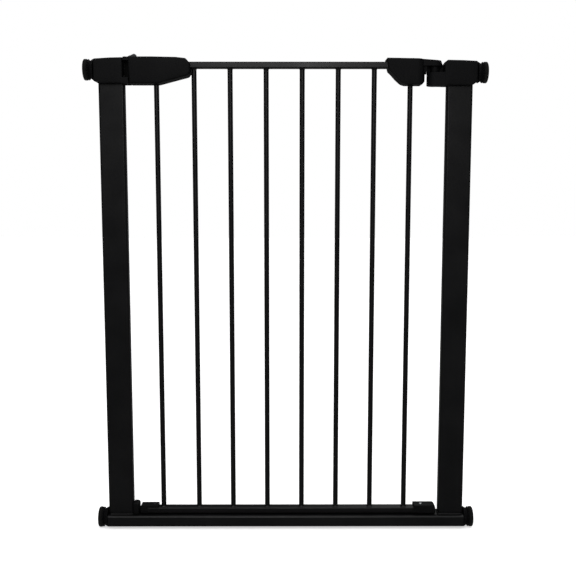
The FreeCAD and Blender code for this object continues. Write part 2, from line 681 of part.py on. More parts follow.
def along_outward(solid, side, wall_x, height):
    """Places a part modelled on +X, with its wall face at 0 and the frame towards -X, at one corner."""
    if side == LEFT:
        solid = solid.mirror(Vector(0, 0, 0), Vector(1, 0, 0))
    solid.translate(Vector(side * wall_x, 0, height))
    return solid


def wall_pad():
    """A rubber disc, flat to the wall, with a blind socket for the spindle's end."""
    disc = across(PAD_RADIUS, (-PAD_THICKNESS, 0), 0)
    rims = [edge for edge in disc.Edges if edge.Closed and edge.BoundBox.XLength < 0.01]
    disc = disc.makeFillet(2.2, rims)
    return disc.cut(across(SPINDLE_RADIUS + PIN_FIT, (-PAD_THICKNESS - 1, -PAD_FLOOR), 0))


def spindle():
    shaft = across(SPINDLE_RADIUS, (-PAD_FLOOR - SPINDLE_LENGTH, -PAD_FLOOR), 0)
    inner_rim = [edge for edge in shaft.Edges if edge.Closed and edge.BoundBox.XMax < -SPINDLE_LENGTH]
    return shaft.makeChamfer(1.0, inner_rim)


def adjusting_wheel():
    """A fluted nut that bears on the frame and drives the spindle out as it turns."""
    start = -PAD_THICKNESS - WHEEL_GAP
    end = start - WHEEL_THICKNESS
    wheel = across(WHEEL_RADIUS, (end, start), 0)
    rims = [edge for edge in wheel.Edges if edge.Closed and edge.BoundBox.XLength < 0.01]
    wheel = wheel.makeChamfer(2.0, rims)
    flutes = []
    for number in range(WHEEL_FLUTES):
        angle = 2 * math.pi * number / WHEEL_FLUTES
        y = (WHEEL_RADIUS + 0.8) * math.cos(angle)
        z = (WHEEL_RADIUS + 0.8) * math.sin(angle)
        flutes.append(across(FLUTE_RADIUS, (end - 1, start + 1), z, y))
    return wheel.cut(flutes).cut(across(SPINDLE_RADIUS + RUNNING, (end - 1, start + 1), 0))


CORNERS = {
    "upper_left": (LEFT, UPPER_WALL_X, UPPER_LEFT_Z),
    "upper_right": (RIGHT, UPPER_WALL_X, UPPER_RIGHT_Z),
    "lower_left": (LEFT, LOWER_WALL_X, LOWER_Z),
    "lower_right": (RIGHT, LOWER_WALL_X, LOWER_Z),
}


def all_parts():
    parts = {
        "post_left": post(LEFT),
        "post_right": post(RIGHT),
        "bottom_bar": bottom_bar(),
        "post_welds": Part.makeCompound([post_weld(LEFT), post_weld(RIGHT)]),
        "bar_plug_left": bar_plug(LEFT),
        "bar_plug_right": bar_plug(RIGHT),
        "post_insert_left": post_insert(LEFT, UPPER_LEFT_Z),
        "post_insert_right": post_insert(RIGHT, UPPER_RIGHT_Z),
        "latch_cap_screws": screws(LATCH_CAP_SCREWS, CAP_SCREW_LENGTH),
        "hinge_cap_screws": screws(HINGE_CAP_SCREWS, CAP_SCREW_LENGTH),
        "lower_stop_block": lower_stop_block(),
        "lower_hinge_socket": lower_hinge_socket(),
        "upper_hinge_bush": bush(BUSH_SEAT + 1, BARREL_TOP, BARREL_TOP + 0.4, BARREL_RADIUS - 0.3),
        "lower_hinge_bush": bush(SOCKET_BOTTOM + 1, BAR_TOP + 0.8, BAR_TOP + 1.4, BARREL_RADIUS),
        "door_top_rail": rail(TOP_RAIL_X, (TOP_RAIL_BOTTOM, DOOR_TOP)),
        "door_bottom_rail": rail(BOTTOM_RAIL_X, (SHOE_BOTTOM, BOTTOM_RAIL_TOP)),
        "handle_screws": screws(HANDLE_SCREWS, CASING_SCREW_LENGTH),
        "latch_tongue": latch_tongue(),
        "hinge_casing_screws": screws(HINGE_CASING_SCREWS, CASING_SCREW_LENGTH),
        "upper_hinge_pin": keyed(PIN_RADIUS, UPPER_PIN_Z),
        "lower_hinge_pin": keyed(PIN_RADIUS, LOWER_PIN_Z),
        "lower_hinge_shoe": lower_hinge_shoe(),
        "lower_hinge_screw": top_screw(HINGE_SHOE_SCREW_X, SHOE_TOP),
        "lower_latch_shoe": lower_latch_shoe(),
        "lower_latch_screw": top_screw(LATCH_SHOE_SCREW_X, SHOE_TOP),
        "latch_bolt": latch_bolt(),
        "thumb_slide": thumb_slide(),
        "bolt_spring": bolt_spring(),
    }
    parts["latch_cap_front"], parts["latch_cap_back"] = halves(latch_cap())
    parts["hinge_cap_front"], parts["hinge_cap_back"] = halves(hinge_cap())
    parts["handle_front"], parts["handle_back"] = halves(handle())
    parts["hinge_casing_front"], parts["hinge_casing_back"] = halves(hinge_casing())
    for number in range(1, BAR_COUNT + 1):
        parts[f"door_bar_{number}"] = door_bar(number)
    for corner, (side, wall_x, height) in CORNERS.items():
        parts[f"wall_pad_{corner}"] = along_outward(wall_pad(), side, wall_x, height)
        parts[f"spindle_{corner}"] = along_outward(spindle(), side, wall_x, height)
        parts[f"adjusting_wheel_{corner}"] = along_outward(adjusting_wheel(), side, wall_x, height)
    return parts


def main():
    os.makedirs("parts", exist_ok=True)
    for name, shape in all_parts().items():
        shape.exportStep(f"parts/{name}.step")


main()
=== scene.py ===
import json
import math

import bmesh
import bpy
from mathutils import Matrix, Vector


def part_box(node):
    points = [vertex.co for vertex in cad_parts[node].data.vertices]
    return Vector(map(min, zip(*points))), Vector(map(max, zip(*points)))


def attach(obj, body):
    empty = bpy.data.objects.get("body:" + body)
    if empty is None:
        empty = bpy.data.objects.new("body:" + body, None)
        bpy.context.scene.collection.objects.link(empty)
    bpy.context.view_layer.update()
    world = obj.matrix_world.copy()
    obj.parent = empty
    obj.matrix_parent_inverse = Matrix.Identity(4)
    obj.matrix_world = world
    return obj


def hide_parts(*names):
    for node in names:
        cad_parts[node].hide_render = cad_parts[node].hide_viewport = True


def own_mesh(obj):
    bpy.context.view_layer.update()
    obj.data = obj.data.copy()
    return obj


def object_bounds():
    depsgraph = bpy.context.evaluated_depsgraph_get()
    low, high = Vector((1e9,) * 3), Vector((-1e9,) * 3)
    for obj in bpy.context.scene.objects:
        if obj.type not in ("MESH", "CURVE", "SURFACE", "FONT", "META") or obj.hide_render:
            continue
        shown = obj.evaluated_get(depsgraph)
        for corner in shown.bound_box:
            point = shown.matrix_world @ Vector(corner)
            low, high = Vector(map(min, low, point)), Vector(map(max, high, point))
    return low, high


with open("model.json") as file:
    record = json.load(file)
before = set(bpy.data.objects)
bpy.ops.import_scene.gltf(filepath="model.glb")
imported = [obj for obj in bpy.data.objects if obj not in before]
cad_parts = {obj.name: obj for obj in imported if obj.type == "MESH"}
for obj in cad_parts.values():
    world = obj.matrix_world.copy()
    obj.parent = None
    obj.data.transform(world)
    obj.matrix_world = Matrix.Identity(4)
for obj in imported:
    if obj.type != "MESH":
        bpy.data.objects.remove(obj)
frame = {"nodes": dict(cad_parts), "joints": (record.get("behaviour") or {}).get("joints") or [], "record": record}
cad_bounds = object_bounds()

# A pressure-mounted walk-through safety gate, in metres.
# +X is to the right seen from the front, +Y is away from the front, +Z is up.
# The latch is on the left post and the hinge is on the right post.

MM = 0.001
SCENE = bpy.context.scene
ARC_STEPS = 7
EDGE_STEPS = 5
ROUND_STEPS = 48
SMALL_ROUND_STEPS = 40
LARGE_ROUND_STEPS = 72
SHARP_ANGLE = math.radians(32)
LEAST_RADIUS = 0.15 * MM
# Just under half of a side, so that the arcs at its two ends stay apart.
ARC_SHARE = 0.49
UP = Vector((0, 0, 1))

# ---- Outlines ----------------------------------------------------------------


def in_metres(corners, origin=(0.0, 0.0)):
    """Corners (u, v, radius) given in millimetres from an origin that is in metres."""
    return [(origin[0] + u * MM, origin[1] + v * MM, r * MM) for u, v, r in corners]


def moved_in(corners, distance):
    """The same corners with every side moved inwards, and the rounding kept in step."""
    count = len(corners)
    area = 0.0
    for i in range(count):
        (u0, v0, _), (u1, v1, _) = corners[i - 1], corners[i]
        area += u0 * v1 - u1 * v0
    turn = 1 if area > 0 else -1
    result = []
    for i in range(count):
        here = Vector(corners[i][:2])
        back = (here - Vector(corners[i - 1][:2])).normalized()
        ahead = (Vector(corners[(i + 1) % count][:2]) - here).normalized()
        normal_back = Vector((-back.y, back.x)) * turn
        normal_ahead = Vector((-ahead.y, ahead.x)) * turn
        shift = (normal_back + normal_ahead) / (1 + normal_back.dot(normal_ahead))
        hollow_corner = (back.x * ahead.y - back.y * ahead.x) * turn < 0
        radius = corners[i][2]
        if radius > 0:
            radius = max(radius + (distance if hollow_corner else -distance), LEAST_RADIUS)
        place = here + shift * distance
        result.append((place.x, place.y, radius))
    return result


def rounded(corners, steps=ARC_STEPS):
    """A closed list of points, with an arc at every corner that has a radius."""
    points = []
    count = len(corners)
    for i in range(count):
        here = Vector(corners[i][:2])
        radius = corners[i][2]
        if radius == 0:
            points.append(here)
            continue
        back = Vector(corners[i - 1][:2]) - here
        ahead = Vector(corners[(i + 1) % count][:2]) - here
        half = back.angle(ahead) / 2
        reach = min(radius / math.tan(half), ARC_SHARE * back.length, ARC_SHARE * ahead.length)
        radius = reach * math.tan(half)
        centre = here + (back.normalized() + ahead.normalized()).normalized() * radius / math.sin(half)
        start = here + back.normalized() * reach - centre
        end = here + ahead.normalized() * reach - centre
        sweep = math.atan2(start.x * end.y - start.y * end.x, start.dot(end))
        first = math.atan2(start.y, start.x)
        for step in range(steps + 1):
            angle = first + sweep * step / steps
            points.append(centre + Vector((math.cos(angle), math.sin(angle))) * radius)
    return points


def rectangle(low, high, *radii):
    """Corners of a rectangle between two (u, v) places, with one radius or one for each corner."""
    places = [(low[0], low[1]), (high[0], low[1]), (high[0], high[1]), (low[0], high[1])]
    return [(u, v, radii[i % len(radii)]) for i, (u, v) in enumerate(places)]


def at(axis, u, v, along):
    """The point at (u, v) in the plane across an axis, some way along it."""
    return {"x": Vector((along, u, v)), "y": Vector((u, along, v)), "z": Vector((u, v, along))}[axis]


def quarter_turn(steps):
    """Angles from 0 to 90 degrees."""
    return [math.pi / 2 * step / steps for step in range(steps + 1)]


def half_turn(steps, radius_x, radius_y, x):
    """Points from the front to the back of half an ellipse that bulges to the right of x."""
    angles = [-math.pi / 2 + math.pi * step / steps for step in range(steps + 1)]
    return [Vector((x + radius_x * math.cos(a), radius_y * math.sin(a))) for a in angles]


def centre_across(axis, low, high):
    """The middle of a CAD box, seen along the x or z axis."""
    x, y, z = [(a + b) / 2 for a, b in zip(low, high)]
    return (y, z) if axis == "x" else (x, y)


# ---- Meshes ------------------------------------------------------------------


def ring(mesh, axis, points, along):
    return [mesh.verts.new(at(axis, p.x, p.y, along)) for p in points]


def skin(mesh, rings, closed=False):
    """Joins each ring of vertices to the next with a band of faces."""
    pairs = list(zip(rings, rings[1:]))
    if closed:
        pairs.append((rings[-1], rings[0]))
    for first, second in pairs:
        count = len(first)
        for i in range(count):
            j = (i + 1) % count
            mesh.faces.new((first[i], first[j], second[j], second[i]))


def circle(mesh, centre, radius, first, second, sides):
    """A ring of vertices about a point, in the plane of two directions."""
    vertices = []
    for number in range(sides):
        angle = 2 * math.pi * number / sides
        outward = first * math.cos(angle) + second * math.sin(angle)
        vertices.append(mesh.verts.new(centre + radius * outward))
    return vertices


def capped(name, mesh, rings):
    """A closed solid: a band from each ring to the next, and a flat face on each end."""
    skin(mesh, rings)
    mesh.faces.new(rings[0])
    mesh.faces.new(rings[-1])
    return make(name, mesh)


def make(name, mesh):
    """Turns a bmesh into an object with smooth faces and sharp corners."""
    bmesh.ops.recalc_face_normals(mesh, faces=mesh.faces)
    data = bpy.data.meshes.new(name)
    mesh.to_mesh(data)
    mesh.free()
    thing = bpy.data.objects.new(name, data)
    SCENE.collection.objects.link(thing)
    return shade(thing)


def shade(thing):
    for face in thing.data.polygons:
        face.use_smooth = True
    thing.data.set_sharp_from_angle(angle=SHARP_ANGLE)
    return thing


def combine(thing, others, operation):
    """Cuts other solids out of a solid, or joins them on, and removes them from the scene."""
    for other in others:
        modifier = thing.modifiers.new("combine", "BOOLEAN")
        modifier.operation = operation
        modifier.solver = "EXACT"
        modifier.object = other
    bpy.context.view_layer.update()
    evaluated = thing.evaluated_get(bpy.context.evaluated_depsgraph_get())
    result = bpy.data.meshes.new_from_object(evaluated)
    thing.modifiers.clear()
    old = thing.data
    thing.data = result
    bpy.data.meshes.remove(old)
    for other in others:
        bpy.data.objects.remove(other)
    return shade(thing)


def cut(thing, *others):
    return combine(thing, others, "DIFFERENCE")


def join(thing, *others):
    return combine(thing, others, "UNION")


def edge_rings(start, end, edge):
    """(inset, place) pairs that round both ends of a solid."""
    way = 1 if end > start else -1
    pairs = []
    for angle in quarter_turn(EDGE_STEPS):
        pairs.append((edge * (1 - math.sin(angle)), start + way * edge * (1 - math.cos(angle))))
    return pairs + [(inset, end + start - place) for inset, place in reversed(pairs)]


def slab(name, corners, axis, start, end, edge):
    """A solid of one outline, with both ends' edges rounded."""
    mesh = bmesh.new()
    pairs = edge_rings(start, end, edge)
    rings = [ring(mesh, axis, rounded(moved_in(corners, inset)), place) for inset, place in pairs]
    return capped(name, mesh, rings)


def plan_slab(name, points, bottom, top):
    """A sharp solid of one plan view."""
    mesh = bmesh.new()
    return capped(name, mesh, [ring(mesh, "z", points, z) for z in (bottom, top)])


def plain_block(low, high):
    """A sharp box that only cuts or joins other solids."""
    return plan_slab("cutter", rounded(rectangle(low[:2], high[:2], 0)), low[2], high[2])


def room_for(low, high, gap):
    """A block that clears a CAD box by a gap on every side."""
    margin = Vector((gap, gap, gap))
    return plain_block(low - margin, high + margin)


def section_tube(name, corners, axis, start, end, wall):
    """A length of rounded box section, open at both ends."""
    mesh = bmesh.new()
    outer = rounded(corners)
    inner = rounded(moved_in(corners, wall))
    rings = [ring(mesh, axis, outer, start), ring(mesh, axis, outer, end)]
    rings += [ring(mesh, axis, inner, end), ring(mesh, axis, inner, start)]
    skin(mesh, rings, closed=True)
    return make(name, mesh)


def turned(name, profile, axis, centre, steps=ROUND_STEPS, reach=None):
    """A turned solid of (along, radius) pairs. reach(angle, along, radius) gives a fluted radius."""
    mesh = bmesh.new()
    rings = []
    for along, radius in profile:
        if radius == 0:
            rings.append([mesh.verts.new(at(axis, centre[0], centre[1], along))])
            continue
        points = []
        for step in range(steps):
            angle = 2 * math.pi * step / steps
            r = reach(angle, along, radius) if reach else radius
            points.append(Vector((centre[0] + r * math.cos(angle), centre[1] + r * math.sin(angle))))
        rings.append(ring(mesh, axis, points, along))
    for first, second in zip(rings, rings[1:]):
        if len(first) == 1:
            first, second = second, first
        if len(second) == 1:
            for i in range(steps):
                mesh.faces.new((first[i], first[(i + 1) % steps], second[0]))
        else:
            skin(mesh, [first, second])
    if len(rings[0]) > 1:
        skin(mesh, [rings[-1], rings[0]])
    return make(name, mesh)


def rod(axis, centre, radius, start, end, steps=ROUND_STEPS):
    """A plain rod that only cuts or joins other solids."""
    profile = [(start, 0), (start, radius), (end, radius), (end, 0)]
    return turned("cutter", profile, axis, centre, steps)


GRID_SPACING = 5 * MM
LEVEL_TOLERANCE = 1e-9


def crown(mesh, rim, way, height, reach):
    """Slices the flat face inside a rim into a grid and domes it slightly away from the rim."""
    face = mesh.faces.new(rim)
    us = [v.co.x for v in rim]
    vs = [v.co.z for v in rim]
    level = rim[0].co.y
    inside = [face]
    for low, high, normal in ((min(us), max(us), Vector((1, 0, 0))), (min(vs), max(vs), UP)):
        slices = int((high - low) / GRID_SPACING)
        for number in range(1, slices + 1):
            place = normal * (low + (high - low) * number / (slices + 1))
            geometry = set(inside)
            for f in inside:
                geometry.update(f.edges)
                geometry.update(f.verts)
            bmesh.ops.bisect_plane(mesh, geom=list(geometry), plane_co=place, plane_no=normal)
            inside = [
                f for f in mesh.faces if all(abs(v.co.y - level) < LEVEL_TOLERANCE for v in f.verts)
            ]
    border = [e for f in inside for e in f.edges if any(g not in inside for g in e.link_faces)]
    ends = [(e.verts[0].co.copy(), e.verts[1].co.copy()) for e in border]
    on_border = {v for e in border for v in e.verts}
    for vertex in {v for f in inside for v in f.verts} - on_border:
        distance = reach
        for a, b in ends:
            along = b - a
            share = (vertex.co - a).dot(along) / max(along.length_squared, LEVEL_TOLERANCE**2)
            nearest = a + along * max(0.0, min(1.0, share))
            distance = min(distance, (vertex.co - nearest).length)
        vertex.co.y += way * height * (1 - (1 - distance / reach) ** 2)


CASE_WALL = 2.5 * MM
CASE_CROWN = 0.5 * MM
CROWN_REACH = 12 * MM
PARTING = 0.25 * MM


def shell(name, corners, way, depth, edge):
    """One half of a moulded casing: a hollow tray with a rounded rim, a domed face, and a fine
    groove at the parting line."""
    mesh = bmesh.new()
    full = depth - CASE_CROWN
    pairs = [(PARTING, 0.0), (PARTING, 0.4 * PARTING), (0.0, 1.6 * PARTING)]
    for angle in quarter_turn(EDGE_STEPS):
        pairs.append((edge * (1 - math.cos(angle)), full - edge * (1 - math.sin(angle))))
    outer = [ring(mesh, "y", rounded(moved_in(corners, i)), way * t) for i, t in pairs]
    inner_points = rounded(moved_in(corners, CASE_WALL))
    inner = [ring(mesh, "y", inner_points, way * t) for t in (full - CASE_WALL, 0.0)]
    skin(mesh, outer)
    skin(mesh, [inner[0], inner[1], outer[0]])
    mesh.faces.new(inner[0])
    crown(mesh, outer[-1], way, CASE_CROWN, CROWN_REACH)
    return make(name, mesh)


# ---- Finishes ----------------------------------------------------------------


def colour(code):
    """An sRGB hex value as linear red, green, blue and alpha."""
    parts = [int(code[i : i + 2], 16) / 255 for i in (1, 3, 5)]
    return [c / 12.92 if c <= 0.04045 else ((c + 0.055) / 1.055) ** 2.4 for c in parts] + [1.0]


def repeat_of(millimetres):
    """The texture scale at which a pattern repeats about every so many millimetres."""
    return 1 / (millimetres * MM)


def add(tree, kind, settings=(), links=()):
    """Adds a node, sets its sockets and options, and joins other nodes' outputs to its sockets."""
    node = tree.nodes.new(kind)
    for name, value in dict(settings).items():
        if name in node.inputs:
            node.inputs[name].default_value = value
        else:
            setattr(node, name, value)
    for name, source in dict(links).items():
        tree.links.new(source, node.inputs[name])
    return node


def new_finish(name, settings):
    """A material with its shader, and the object coordinates that its patterns use."""
    material = bpy.data.materials.new(name)
    material.use_nodes = True
    tree = material.node_tree
    tree.nodes.clear()
    shader = add(tree, "ShaderNodeBsdfPrincipled", settings)
    add(tree, "ShaderNodeOutputMaterial", links={"Surface": shader.outputs["BSDF"]})
    place = add(tree, "ShaderNodeTexCoord").outputs["Object"]
    return material, tree, shader, place


def between(tree, source, low, high, start=0.3, end=0.7):
    """A pattern's values, stretched to run from low to high."""
    limits = {"From Min": start, "From Max": end, "To Min": low, "To Max": high}
    return add(tree, "ShaderNodeMapRange", limits, {"Value": source}).outputs["Result"]


def two_tones(tree, source, first, second):
    tones = {"Color1": colour(first), "Color2": colour(second)}
    return add(tree, "ShaderNodeMixRGB", tones, {"Fac": source}).outputs["Color"]


def noise(tree, place, millimetres, detail):
    """Noise that repeats about every so many millimetres."""
    settings = {"Scale": repeat_of(millimetres), "Detail": detail}
    return add(tree, "ShaderNodeTexNoise", settings, {"Vector": place}).outputs["Fac"]


def relief(tree, height, strength, depth, under=None):
    """The normals of a relief that is some millimetres deep, laid over another relief or none."""
    links = {"Height": height}
    if under is not None:
        links["Normal"] = under
    settings = {"Strength": strength, "Distance": depth * MM}
    return add(tree, "ShaderNodeBump", settings, links).outputs["Normal"]


def join_patterns(tree, shader, tone, rough, normal):
    for socket, source in (("Base Color", tone), ("Roughness", rough), ("Normal", normal)):
        tree.links.new(source, shader.inputs[socket])


def polyester_powder_coat():
    """Polyester powder, sprayed on steel tube and baked. It flows into a fine orange peel, so highlights
    on the tubes are satin, a little broken up, and softly edged."""
    material, tree, shader, place = new_finish(
        "polyester_powder_coat_satin_black", {"IOR": 1.5, "Specular IOR Level": 0.22}
    )
    # Orange peel is 2 to 3 mm across. The grains of pigment, really 0.1 mm, are drawn at 0.7 mm to show.
    peel = noise(tree, place, 2.6, 2.0)
    grain = noise(tree, place, 0.7, 1.0)
    clouds = noise(tree, place, 60, 3.0)
    tone = two_tones(tree, between(tree, clouds, 0, 1), "#060607", "#09090a")
    rough = between(tree, clouds, 0.32, 0.4)
    fine = relief(tree, grain, 0.15, 0.01)
    join_patterns(tree, shader, tone, rough, relief(tree, peel, 0.2, 0.02, fine))
    return material


def moulded_abs(name, dark, light, rough_low, rough_high):
    """ABS moulded in a spark-eroded tool. The tiny pits scatter light, so the casings look duller
    and a little greyer than the painted tubes, with only a wide soft sheen."""
    material, tree, shader, place = new_finish(name, {"IOR": 1.53, "Specular IOR Level": 0.07})
    # Spark erosion leaves pits of about 0.2 mm, drawn at 0.9 mm so that they show.
    pits = add(tree, "ShaderNodeTexVoronoi", {"Scale": repeat_of(0.9)}, {"Vector": place})
    mottle = noise(tree, place, 1.6, 4.0)
    flow = noise(tree, place, 45, 2.0)
    tone = two_tones(tree, between(tree, mottle, 0, 1), dark, light)
    rough = between(tree, flow, rough_low, rough_high)
    fine = relief(tree, pits.outputs["Distance"], 0.3, 0.05)
    join_patterns(tree, shader, tone, rough, relief(tree, mottle, 0.3, 0.06, fine))
    return material


def glass_filled_nylon():
    """Nylon with short glass fibres, moulded. The fibres come to the surface as faint pale flecks."""
    material, tree, shader, place = new_finish(
        "glass_filled_nylon_black", {"IOR": 1.53, "Specular IOR Level": 0.04}
    )
    # Fibres are about 0.3 mm long, drawn at 1.2 mm so that they show.
    stretched = add(tree, "ShaderNodeMapping", {"Scale": (1.0, 1.0, 0.25)}, {"Vector": place})
    fibres = noise(tree, stretched.outputs["Vector"], 1.2, 5.0)
    tone = two_tones(tree, between(tree, fibres, 0, 1, 0.5, 0.75), "#020202", "#060606")
    rough = between(tree, fibres, 0.48, 0.6)
    join_patterns(tree, shader, tone, rough, relief(tree, fibres, 0.3, 0.05))
    return material


def moulded_rubber():
    """Soft rubber, pressed in a mould. It is matt, with a grey bloom where the light grazes it."""
    settings = {"IOR": 1.52, "Specular IOR Level": 0.08, "Sheen Weight": 0.02, "Sheen Roughness": 0.6}
    material, tree, shader, place = new_finish("moulded_rubber_black", settings)
    # Talc and wear leave blotches of 4 mm, and the mould's blasted face is 0.3 mm grit, drawn at 0.8 mm.
    bloom = noise(tree, place, 4, 5.0)
    grit = noise(tree, place, 0.8, 2.0)
    tone = two_tones(tree, between(tree, bloom, 0, 1), "#060606", "#0c0c0b")
    rough = between(tree, bloom, 0.7, 0.85)
    join_patterns(tree, shader, tone, rough, relief(tree, grit, 0.4, 0.06))
    return material


def zinc_plate(name, bright, dull, rough_low, rough_high):
    """Steel, turned or rolled and then zinc plated. Fine lathe lines stay under the plating, and the
    passivated zinc clouds slightly, so the metal shines but isn't a mirror."""
    material, tree, shader, place = new_finish(name, {"Metallic": 1.0})
    # Turning marks run round the shaft about every 0.15 mm, drawn at 0.5 mm so that they show.
    squeezed = add(tree, "ShaderNodeMapping", {"Scale": (1.0, 0.08, 0.08)}, {"Vector": place})
    lines = noise(tree, squeezed.outputs["Vector"], 0.5, 2.0)
    clouds = noise(tree, place, 6, 4.0)
    tone = two_tones(tree, between(tree, clouds, 0, 1), bright, dull)
    rough = between(tree, clouds, rough_low, rough_high)
    join_patterns(tree, shader, tone, rough, relief(tree, lines, 0.2, 0.02))
    return material


FINISHES = {
    "frame_paint": polyester_powder_coat(),
    "casing_plastic": moulded_abs("moulded_abs_black", "#060607", "#0a0a0b", 0.52, 0.6),
    "slide_plastic": moulded_abs("moulded_abs_dark_grey", "#3a3a3c", "#444446", 0.42, 0.5),
    "nylon": glass_filled_nylon(),
    "pad_rubber": moulded_rubber(),
    "plated_steel": zinc_plate("zinc_plated_steel", "#c4c6c8", "#a4a6a9", 0.24, 0.38),
    "screw_steel": zinc_plate("black_zinc_plated_steel", "#3b3b3e", "#2b2b2d", 0.3, 0.42),
}


def fit(thing, slot, body, *nodes):
    """Gives a piece its finish and its body, and says which CAD nodes it stands for."""
    thing.data.materials.clear()
    thing.data.materials.append(FINISHES[slot])
    weighted = thing.modifiers.new("weighted_normals", "WEIGHTED_NORMAL")
    weighted.keep_sharp = True
    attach(thing, body)
    if nodes:
        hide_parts(*nodes)
    return thing


# ---- Frame -------------------------------------------------------------------

POST_CORNER = 4 * MM
POST_WALL = 1.2 * MM
BAR_CORNER = 4 * MM
BAR_WALL = 1.5 * MM
RAIL_CORNER = 2 * MM
HINGE_X = frame["joints"][0]["pos_m"][0]
SOCKET_RADIUS = 9 * MM


def posts():
    for side in ("left", "right"):
        low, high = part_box(f"post_{side}")
        corners = rectangle(low[:2], high[:2], POST_CORNER)
        post = section_tube(f"post_{side}_tube", corners, "z", low.z, high.z, POST_WALL)
        fit(post, "frame_paint", "frame", f"post_{side}")


def bottom_bar():
    low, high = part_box("bottom_bar")
    corners = rectangle(low[1:], high[1:], BAR_CORNER)
    bar = section_tube("bottom_bar_tube", corners, "x", low.x, high.x, BAR_WALL)
    cut(bar, rod("z", (HINGE_X, 0), SOCKET_RADIUS, high.z - 5 * MM, high.z + 5 * MM))
    fit(bar, "frame_paint", "frame", "bottom_bar")


WELD_RADIUS = 1.45 * MM
WELD_RIPPLE = 0.4 * MM
WELD_RIPPLE_LENGTH = 2.6 * MM
WELD_STANDOFF = 0.35 * MM
WELD_STEP = 0.6 * MM
WELD_SIDES = 10


def weld_path(side):
    """Points round the front, inner side and back of a post's foot. The outer side has no weld."""
    low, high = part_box(f"post_{side}")
    margin = 5 * MM
    bar_end = 2 * MM
    beyond = Vector((40 * MM, 0, 0))
    if side == "left":
        keep = (low.x + bar_end, high.x + margin)
        low = low - beyond
    else:
        keep = (low.x - margin, high.x - bar_end)
        high = high + beyond
    outline = rounded(rectangle(low[:2], high[:2], POST_CORNER), steps=24)
    path = []
    for i, point in enumerate(outline):
        following = outline[(i + 1) % len(outline)]
        steps = max(1, int((following - point).length / WELD_STEP))
        path += [point.lerp(following, step / steps) for step in range(steps)]
    path = [p for p in path if keep[0] < p.x < keep[1]]
    first = [i for i in range(len(path)) if (path[i] - path[i - 1]).length > margin][0]
    return path[first:] + path[:first]


def weld_bead(side):
    """A hand-laid bead in overlapping ripples, thinner at both ends."""
    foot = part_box(f"post_{side}")[0].z
    path = weld_path(side)
    last = len(path) - 1
    mesh = bmesh.new()
    rings = []
    travelled = 0.0
    for i, point in enumerate(path):
        before = path[max(i - 1, 0)]
        after = path[min(i + 1, last)]
        travelled += (point - before).length
        along = Vector((after.x - before.x, after.y - before.y, 0)).normalized()
        outward = Vector((along.y, -along.x, 0))
        ripple = abs(math.sin(math.pi * travelled / WELD_RIPPLE_LENGTH))
        taper = min(1.0, 0.45 + 0.25 * min(i, last - i))
        radius = (WELD_RADIUS + WELD_RIPPLE * ripple) * taper
        centre = Vector((point.x, point.y, foot)) + outward * WELD_STANDOFF
        rings.append(circle(mesh, centre, radius, outward, UP, WELD_SIDES))
    return capped(f"post_weld_{side}", mesh, rings)


def welds():
    fit(weld_bead("left"), "frame_paint", "frame", "post_welds")
    fit(weld_bead("right"), "frame_paint", "frame")


# ---- Casings on the posts ----------------------------------------------------

CASE_HALF_DEPTH = 20 * MM
CASE_EDGE = 2.6 * MM
POST_GAP = 0.15 * MM
HALVES = (("front", -1), ("back", 1))
SHANK_RADIUS = 1.6 * MM
SCREW_HEAD_RADIUS = 3.2 * MM
SCREW_RECESS = 2.4 * MM
# Screw places are (x, z) in millimetres.
LATCH_CAP_SCREWS = ((-350.3, 870.0), (-350.3, 894.0))
HINGE_CAP_SCREWS = ((350.2, 865.5), (350.2, 889.5))
HANDLE_SCREWS = ((-271.0, 863.0), (-224.0, 874.0), (-190.0, 879.0))
HINGE_CASING_SCREWS = ((200.0, 878.0), (218.0, 866.0), (248.0, 868.0))


def screw_rods(places, radius, start, end):
    return [rod("y", (x * MM, z * MM), radius, start, end) for x, z in places]


def in_back_shell(thing, places, *others):
    """Gives a back shell a boss and a well for each screw, and cuts other solids out of it."""
    boss_radius = SCREW_HEAD_RADIUS + 1.6 * MM
    thing = join(thing, *screw_rods(places, boss_radius, 0.3 * MM, CASE_HALF_DEPTH - 1.2 * MM))
    well_radius = SCREW_HEAD_RADIUS + 0.25 * MM
    start = CASE_HALF_DEPTH - SCREW_RECESS
    return cut(thing, *screw_rods(places, well_radius, start, CASE_HALF_DEPTH + MM), *others)


def cross_recess(screw, axis, centre, arm, width, bottom, top):
    for u, v in ((arm, width), (width, arm)):
        low = at(axis, centre[0] - u, centre[1] - v, bottom)
        high = at(axis, centre[0] + u, centre[1] + v, top)
        screw = cut(screw, plain_block(low, high))
    return screw


def screw_group(name, body, node, places):
    """Pan-head screws with a domed head and a cross recess, one solid each."""
    face = CASE_HALF_DEPTH - 0.4 * MM
    seat = face - 2 * MM
    rim = seat + 0.9 * MM
    profile = [(face - 18 * MM, 0), (face - 17 * MM, MM), (face - 16 * MM, SHANK_RADIUS)]
    profile += [(seat, SHANK_RADIUS), (seat, SCREW_HEAD_RADIUS), (rim, SCREW_HEAD_RADIUS)]
    for angle in quarter_turn(5)[1:]:
        dome = SCREW_HEAD_RADIUS * (0.35 + 0.65 * math.cos(angle))
        profile.append((rim + 1.1 * MM * math.sin(angle), dome))
    profile.append((face, 0))
    group = None
    for x, z in places:
        centre = (x * MM, z * MM)
        screw = turned(name, profile, "y", centre, SMALL_ROUND_STEPS)
        screw = cross_recess(screw, "y", centre, 2.0 * MM, 0.45 * MM, face - 1.1 * MM, face + MM)
        group = join(group, screw) if group else screw
    fit(group, "screw_steel", body, node)


def post_room(side):
    low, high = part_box(f"post_{side}")
    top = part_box(f"post_insert_{side}")[1].z
    return room_for(low, Vector((high.x, high.y, top)), POST_GAP)


